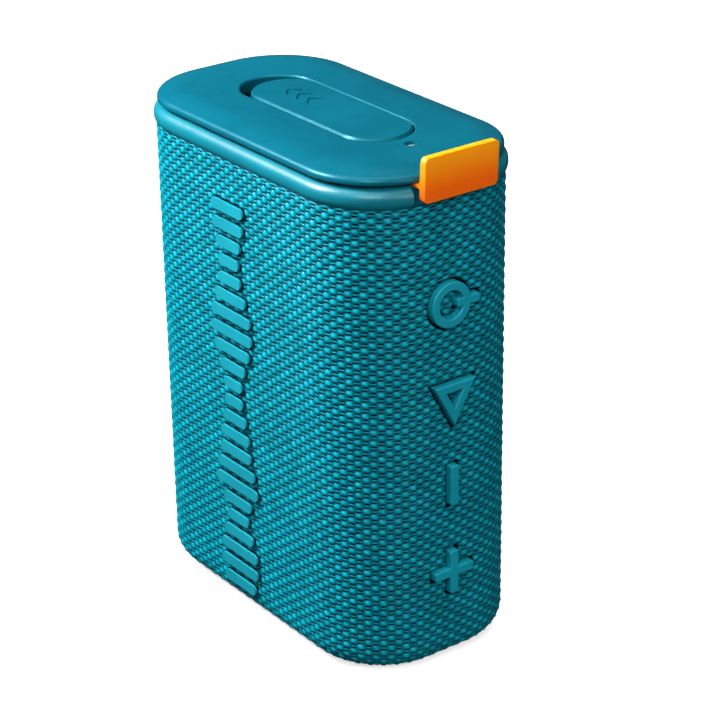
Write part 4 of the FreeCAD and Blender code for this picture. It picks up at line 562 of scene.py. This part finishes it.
def sleeve_outline():
    """Points round the sleeve: distance, arc centre in X and Y, outward angle.

    It starts in the middle of the front and runs towards +X.
    """
    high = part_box("fabric_sleeve")[1]
    x, y = high.x - CORNER_RADIUS, high.y - CORNER_RADIUS
    arc = CORNER_RADIUS * math.pi / 2
    legs = [x, arc, 2 * y, arc, 2 * x, arc, 2 * y, arc, x]
    distance = np.concatenate([[0.0], np.cumsum(legs)])
    centre_x = np.array([0, x, x, x, x, -x, -x, -x, -x, 0])
    centre_y = np.array([-y, -y, -y, y, y, y, y, -y, -y, -y])
    angle = np.radians([-90, -90, 0, 0, 90, 90, 180, 180, 270, 270])
    return distance, centre_x, centre_y, angle


def sleeve_profile():
    """Points down the sleeve: distance, arc centre as inset and height, radius, normal's angle."""
    low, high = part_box("fabric_sleeve")
    bottom_radius = BASE_ROUND - CLOTH_SINK
    top_z = high.z + TOP_TUCK - TOP_CURL
    bottom_z = low.z + BASE_ROUND
    legs = [
        TOP_CURL * math.pi / 2,
        top_z - bottom_z,
        bottom_radius * math.pi / 2,
        HEM_REACH - BASE_ROUND,
    ]
    distance = np.concatenate([[0.0], np.cumsum(legs)])
    top_inset = CLOTH_SINK + TOP_CURL
    inset = np.array([top_inset, top_inset, BASE_ROUND, BASE_ROUND, HEM_REACH])
    height = np.array([top_z, top_z, bottom_z, bottom_z, bottom_z])
    radius = np.array([TOP_CURL, TOP_CURL, bottom_radius, bottom_radius, bottom_radius])
    angle = np.radians([90, 0, 0, -90, -90])
    return distance, inset, height, radius, angle


def wrap(around, down, rise):
    """Places on the sleeve for distances round it and down it, raised along its normal."""
    distance, centre_x, centre_y, turn = sleeve_outline()
    path, inset, height, radius, tilt = sleeve_profile()
    around = np.mod(around, distance[-1])
    angle = np.interp(around, distance, turn)
    lean = np.interp(down, path, tilt)
    reach = np.interp(down, path, radius) + rise
    out = CORNER_RADIUS - np.interp(down, path, inset) + reach * np.cos(lean)
    x = np.interp(around, distance, centre_x) + out * np.cos(angle)
    y = np.interp(around, distance, centre_y) + out * np.sin(angle)
    z = np.interp(down, path, height) + reach * np.sin(lean)
    return np.stack([x, y, z], 1)


def chance(first, second):
    """A number from 0 to 1 for each stitch, always the same one."""
    # A steep sine of two unrelated multiples: the usual way to scatter grid numbers.
    mixed = np.sin(first * 12.9898 + second * 78.233) * 43758.5453
    return mixed - np.floor(mixed)


def stitches(around, down):
    """Height of the weave over its valleys, and each stitch's own shade from 0 to 1.

    Every column of yarn comes up in long stitches and dips under a thin crossing yarn
    between them, with a hole on each side of it, dark in real and in painted shade; the next column is
    half a stitch off.
    """
    column = around / column_pitch
    number = np.round(column)
    x = column - number
    y = down / stitch_pitch + 0.5 * np.mod(number, 2)
    row = np.round(y)
    y = y - row
    x = x - SLANT * np.sin(2 * math.pi * y) * (1 - 4 * x**2)
    lot = chance(np.mod(number, COLUMNS), row)
    stitch = np.maximum(1 - np.abs(y / STITCH_HALF) ** YARN_FULLNESS, 0)
    crossing = np.maximum(1 - ((np.abs(y) - 0.5) / CROSSING_HALF) ** 2, 0)
    stitch_height = (PIT + CROWN * (1 + STITCH_VARIES * (lot - 0.5))) * stitch
    crossing_height = (PIT + CROSSING) * crossing
    column_height = np.maximum(stitch_height, crossing_height) - PIT
    across = 1 - np.abs(2 * x) ** YARN_FULLNESS
    return column_height * across, lot


def capsule(y, z, centre, half, radius):
    """Distance to a pill that lies across, centred at a height."""
    beyond = np.maximum(np.abs(y) - half, 0)
    return np.hypot(beyond, z - centre) - radius


def bar(y, z, middle, width, height):
    """Distance to a rectangle in the plane of the narrow face."""
    dy = np.abs(y - middle[0]) - width / 2
    dz = np.abs(z - middle[1]) - height / 2
    outside = np.hypot(np.maximum(dy, 0), np.maximum(dz, 0))
    return outside + np.minimum(np.maximum(dy, dz), 0)


def button_z(number):
    """Height of the middle of a button."""
    return BUTTON_FIRST + number * BUTTON_PITCH


def triangle(y, z, stroke):
    """Distance to the triangle of the play button, its sides moved inwards by a stroke."""
    top = button_z(PLAY) + TRIANGLE_TOP
    side = math.hypot(TRIANGLE_HALF, TRIANGLE_TALL)
    across = np.abs(y) * TRIANGLE_TALL + (top - z) * TRIANGLE_HALF
    slanted = (across - TRIANGLE_HALF * TRIANGLE_TALL) / side
    return np.maximum(slanted, z - top) + stroke


def power_ring(y, z, radius):
    """Distance to a disc round the centre of the power ring."""
    return np.hypot(y + RING_SHIFT, z - button_z(POWER)) - radius


def power_dash(y, z):
    """Distance to the dash that runs out of the power ring."""
    return bar(y, z, (DASH_SHIFT, button_z(POWER)), DASH_LENGTH, DASH_STROKE)


def to_icons(y, z):
    """Distance from the nearest icon's outline, positive outside."""
    up, down = (0.0, button_z(VOLUME_UP)), (0.0, button_z(VOLUME_DOWN))
    shapes = [
        power_ring(y, z, RING_OUTER),
        power_dash(y, z),
        triangle(y, z, 0.0),
        bar(y, z, down, SIGN_STROKE, MINUS_LENGTH),
        bar(y, z, up, SIGN_STROKE, PLUS_LENGTH),
        bar(y, z, up, PLUS_LENGTH, SIGN_STROKE),
    ]
    return np.minimum.reduce(shapes)


def in_ring(y, z):
    """Distance inside the power ring's opening, positive on the cloth there."""
    return np.minimum(-power_ring(y, z, RING_INNER), power_dash(y, z))


def in_triangle(y, z):
    """Distance inside the triangle's opening, positive on the cloth there."""
    return -triangle(y, z, TRIANGLE_STROKE)


def snap(y, z, edge, reach):
    """Moves points that lie near a cut onto it, so that the cut is clean."""
    away = edge(y, z)
    step = 0.01 * MM
    slope_y = (edge(y + step, z) - away) / step
    slope_z = (edge(y, z + step) - away) / step
    close = (np.abs(away) < reach).astype(float)
    return y - close * away * slope_y, z - close * away * slope_z


def level_bar_pills():
    """Middle in X and Z, straight half length and end radius of each level bar.

    They are read from the frame's own mesh.
    """
    node = frame["nodes"]["level_bars"]
    places = np.zeros(len(node.data.vertices) * 3)
    node.data.vertices.foreach_get("co", places)
    places = places.reshape(-1, 3)
    places = places[np.argsort(places[:, 2])]
    gaps = np.nonzero(np.diff(places[:, 2]) > BAR_GAP)[0] + 1
    pills = []
    for group in np.split(places, gaps):
        low, high = group.min(0), group.max(0)
        radius = (high[2] - low[2]) / 2
        middle = (high + low) / 2
        pills.append((middle[0], middle[2], (high[0] - low[0]) / 2 - radius, radius))
    return pills


def cloth_grid(name, columns, rows):
    """A flat grid, one column pitch and one stitch pitch to a cell; coordinates in cells."""
    bm = bmesh.new()
    bmesh.ops.create_grid(
        bm, x_segments=columns * STEPS_ACROSS, y_segments=rows * STEPS_DOWN, size=0.5
    )
    mesh = bpy.data.meshes.new(name)
    bm.to_mesh(mesh)
    bm.free()
    return mesh


def weave(name, first_column, columns, first_row, rows, edge=None, sink=0.0):
    """A piece of the cloth, cut where edge is below nothing, rolled in along its cuts."""
    mesh = cloth_grid(name, columns, rows)
    flat = np.zeros(len(mesh.vertices) * 3)
    mesh.vertices.foreach_get("co", flat)
    flat = flat.reshape(-1, 3)
    around = (first_column + (flat[:, 0] + 0.5) * columns) * column_pitch
    down = (first_row + (0.5 - flat[:, 1]) * rows) * stitch_pitch
    plain = wrap(around, down, np.zeros(len(flat)))
    height, lot = stitches(around, down)
    gone = np.zeros(len(flat), bool)
    if edge is not None:
        # Cuts count only on the narrow face, towards +X, where the icons are.
        facing = plain[:, 0] > 0.8 * plain[:, 0].max()
        y, z = snap(plain[:, 1], plain[:, 2], edge, CUT_SNAP)
        around = around + np.where(facing, y - plain[:, 1], 0)
        down = down - np.where(facing, z - plain[:, 2], 0)
        inside = edge(y, z)
        gone = facing & (inside < -CUT_SLACK)
        flat_share = np.clip(inside / CUT_ROLL, 0, 1)
        flat_share = np.where(facing, flat_share, 1)
        height = height * flat_share**0.5 - CUT_DROP * (1 - flat_share) ** 2
    height = press_under_bars(plain, height)
    height = height - sink
    height = np.where(down < TOP_CURL, height * (down / TOP_CURL), height)
    places = wrap(around, down, height)
    mesh.vertices.foreach_set("co", places.ravel())
    # rise, the height in the weave, sets the painted shade in the cloth's colour.
    store(mesh, "rise", np.clip((height + sink + PIT) / (PIT + CROWN), 0, 1))
    store(mesh, "lot", lot)
    lay_uv(mesh, np.stack([around, down], 1) / MM)
    trim(mesh, gone)
    mesh.polygons.foreach_set("use_smooth", np.ones(len(mesh.polygons), bool))
    mesh.update()
    piece = bpy.data.objects.new(name, mesh)
    bpy.context.scene.collection.objects.link(piece)
    return piece


def press_under_bars(plain, height):
    """The hot press flattens the cloth under the level bars and just beside them."""
    front = plain[:, 1] < 0
    near = np.full(len(plain), 1.0)
    for middle_x, middle_z, half, radius in bar_pills:
        near = np.minimum(near, capsule(plain[:, 0] - middle_x, plain[:, 2], middle_z, half, radius))
    pressed = np.clip(1 - near / PRESS_REACH, 0, 1) ** 2
    pressed = np.where(front, pressed, 0)
    return height * (1 - PRESS_FLATTEN * pressed) - PRESS_SINK * pressed


def store(mesh, name, values):
    """One number for each point, which the cloth's material reads by name."""
    attribute = mesh.attributes.new(name, "FLOAT", "POINT")
    attribute.data.foreach_set("value", values.astype(np.float32))


def lay_uv(mesh, values):
    """A UV map named cloth, in millimetres on the flat cloth."""
    corners = np.zeros(len(mesh.loops), np.int32)
    mesh.loops.foreach_get("vertex_index", corners)
    layer = mesh.uv_layers.new(name="cloth")
    layer.data.foreach_set("uv", values[corners].astype(np.float32).ravel())


def trim(mesh, gone):
    """Removes the faces that lie wholly in an opening."""
    if not gone.any():
        return
    bm = bmesh.new()
    bm.from_mesh(mesh)
    bm.verts.ensure_lookup_table()
    lost = [face for face in bm.faces if all(gone[v.index] for v in face.verts)]
    bmesh.ops.delete(bm, geom=lost, context="FACES")
    bm.to_mesh(mesh)
    bm.free()


def make_sleeve():
    """The cloth in equal panels that meet in the valleys between two columns.

    The first starts half a column left of the front's middle; the second has the icons.
    """
    width = COLUMNS // PANELS
    for number in range(PANELS):
        first = number * width - 0.5
        reaches_icons = number == 1
        edge = (lambda y, z: to_icons(y, z) - CUT_PLAY) if reaches_icons else None
        piece = weave(f"woven_sleeve_{number}", first, width, 0, STITCHES, edge)
        piece.data.materials.append(finishes["woven_fabric"])
        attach(piece, "speaker")
        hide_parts("fabric_sleeve")


def make_insets():
    """The two small pieces of cloth that ride on the power and play buttons."""
    ring = ("power_weave", "power", "power_fabric_inset", in_ring, POWER)
    arrow = ("play_weave", "play", "play_fabric_inset", in_triangle, PLAY)
    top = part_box("fabric_sleeve")[1].z
    distance = sleeve_outline()[0]
    middle = (distance[2] + distance[3]) / 2 / column_pitch
    for name, body, node, edge, number in (ring, arrow):
        first_row = math.floor((top - button_z(number)) / stitch_pitch) - INSET_ROWS // 2
        piece = weave(
            name,
            math.floor(middle) - INSET_COLUMNS / 2,
            INSET_COLUMNS,
            first_row,
            INSET_ROWS,
            lambda y, z, edge=edge: edge(y, z) - CUT_PLAY,
            sink=INSET_SINK,
        )
        piece.data.materials.append(finishes["woven_fabric"])
        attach(piece, body)
        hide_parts(node)


# ---- studio ----------------------------------------------------------------------------


def make_camera():
    """Long lens from above the corner between the front and the buttons."""
    azimuth, elevation, roll = math.radians(54.17), math.radians(24.80), math.radians(-1.167)
    back = Vector(
        (
            math.sin(azimuth) * math.cos(elevation),
            -math.cos(azimuth) * math.cos(elevation),
            math.sin(elevation),
        )
    )
    right = Vector((math.cos(azimuth), math.sin(azimuth), 0))
    up = back.cross(right)
    across = right * math.cos(roll) + up * math.sin(roll)
    upward = up * math.cos(roll) - right * math.sin(roll)
    data = bpy.data.cameras.new("camera")
    data.sensor_width = 36.0
    data.lens = 122.4  # mm
    data.shift_x = 0.0316
    data.shift_y = 0.0041
    data.clip_start = 0.01
    data.clip_end = 20.0
    camera = bpy.data.objects.new("camera", data)
    aim, distance = Vector((0, 0, 60 * MM)), 550.7 * MM
    place = aim + back * distance
    camera.matrix_world = Matrix.Translation(place) @ Matrix((across, upward, back)).transposed().to_4x4()
    bpy.context.scene.collection.objects.link(camera)
    bpy.context.scene.camera = camera


def soft_box(name, place, target, width, power):
    """A square soft light that faces a point: width in metres, power in watts."""
    data = bpy.data.lights.new(name, "AREA")
    data.shape = "SQUARE"
    data.size = width
    data.energy = power
    lamp = bpy.data.objects.new(name, data)
    lamp.location = place
    lamp.rotation_mode = "QUATERNION"
    lamp.rotation_quaternion = (Vector(target) - Vector(place)).to_track_quat("-Z", "Y")
    bpy.context.scene.collection.objects.link(lamp)
    return lamp


def make_studio():
    """Plain white floor, dim surroundings, a close key at the front left, soft light elsewhere."""
    scene = bpy.context.scene
    scene.view_settings.view_transform = "Standard"
    world = bpy.data.worlds.new("studio")
    scene.world = world
    world.use_nodes = True
    background = world.node_tree.nodes["Background"].inputs
    background["Color"].default_value = linear("#f4f7f8")
    background["Strength"].default_value = 0.04
    bm = bmesh.new()
    bmesh.ops.create_grid(bm, x_segments=1, y_segments=1, size=6.0)
    mesh = bpy.data.meshes.new("floor")
    bm.to_mesh(mesh)
    bm.free()
    floor = bpy.data.objects.new("floor", mesh)
    scene.collection.objects.link(floor)
    mesh.materials.append(white_sweep())
    # The floor is seen and takes the shadow, but throws neither light nor reflection.
    floor.visible_glossy = False
    floor.visible_diffuse = False
    middle = (0, 0, 0.06)
    soft_box("key", (-0.15, -0.20, 0.33), (0, 0, 0.09), 0.12, 3.1)
    soft_box("fill", (0.42, -0.46, 0.55), middle, 0.3, 3.0)
    soft_box("top", (0.0, 0.0, 3.0), middle, 3.0, 55)
    soft_box("side", (0.8, 0.05, 0.40), middle, 0.4, 2.4)
    back = soft_box("back", (-0.62, 0.60, 0.10), middle, 0.4, 6.0)
    back.visible_glossy = False  # it faces the camera, so it would glare on the lid


def white_sweep():
    """Matt white paper, lit a little from within so that it stays white under dim lamps."""
    material, tree, shader, place = start("white_paper", **{"IOR": 1.45, "Emission Strength": 0.6})
    fibres = speckle(tree, place, 8 * MM)
    feed(
        tree,
        shader,
        Base_Color=between(tree, fibres, "#f6f6f6", "#fafafa"),
        Roughness=spread(tree, fibres, 0.85, 0.95),
    )
    return material


# ---- build -----------------------------------------------------------------------------

column_pitch = sleeve_outline()[0][-1] / COLUMNS
stitch_pitch = sleeve_profile()[0][-1] / STITCHES
bar_pills = level_bar_pills()
finishes = finish_frame()
make_sleeve()
make_insets()
make_camera()
make_studio()
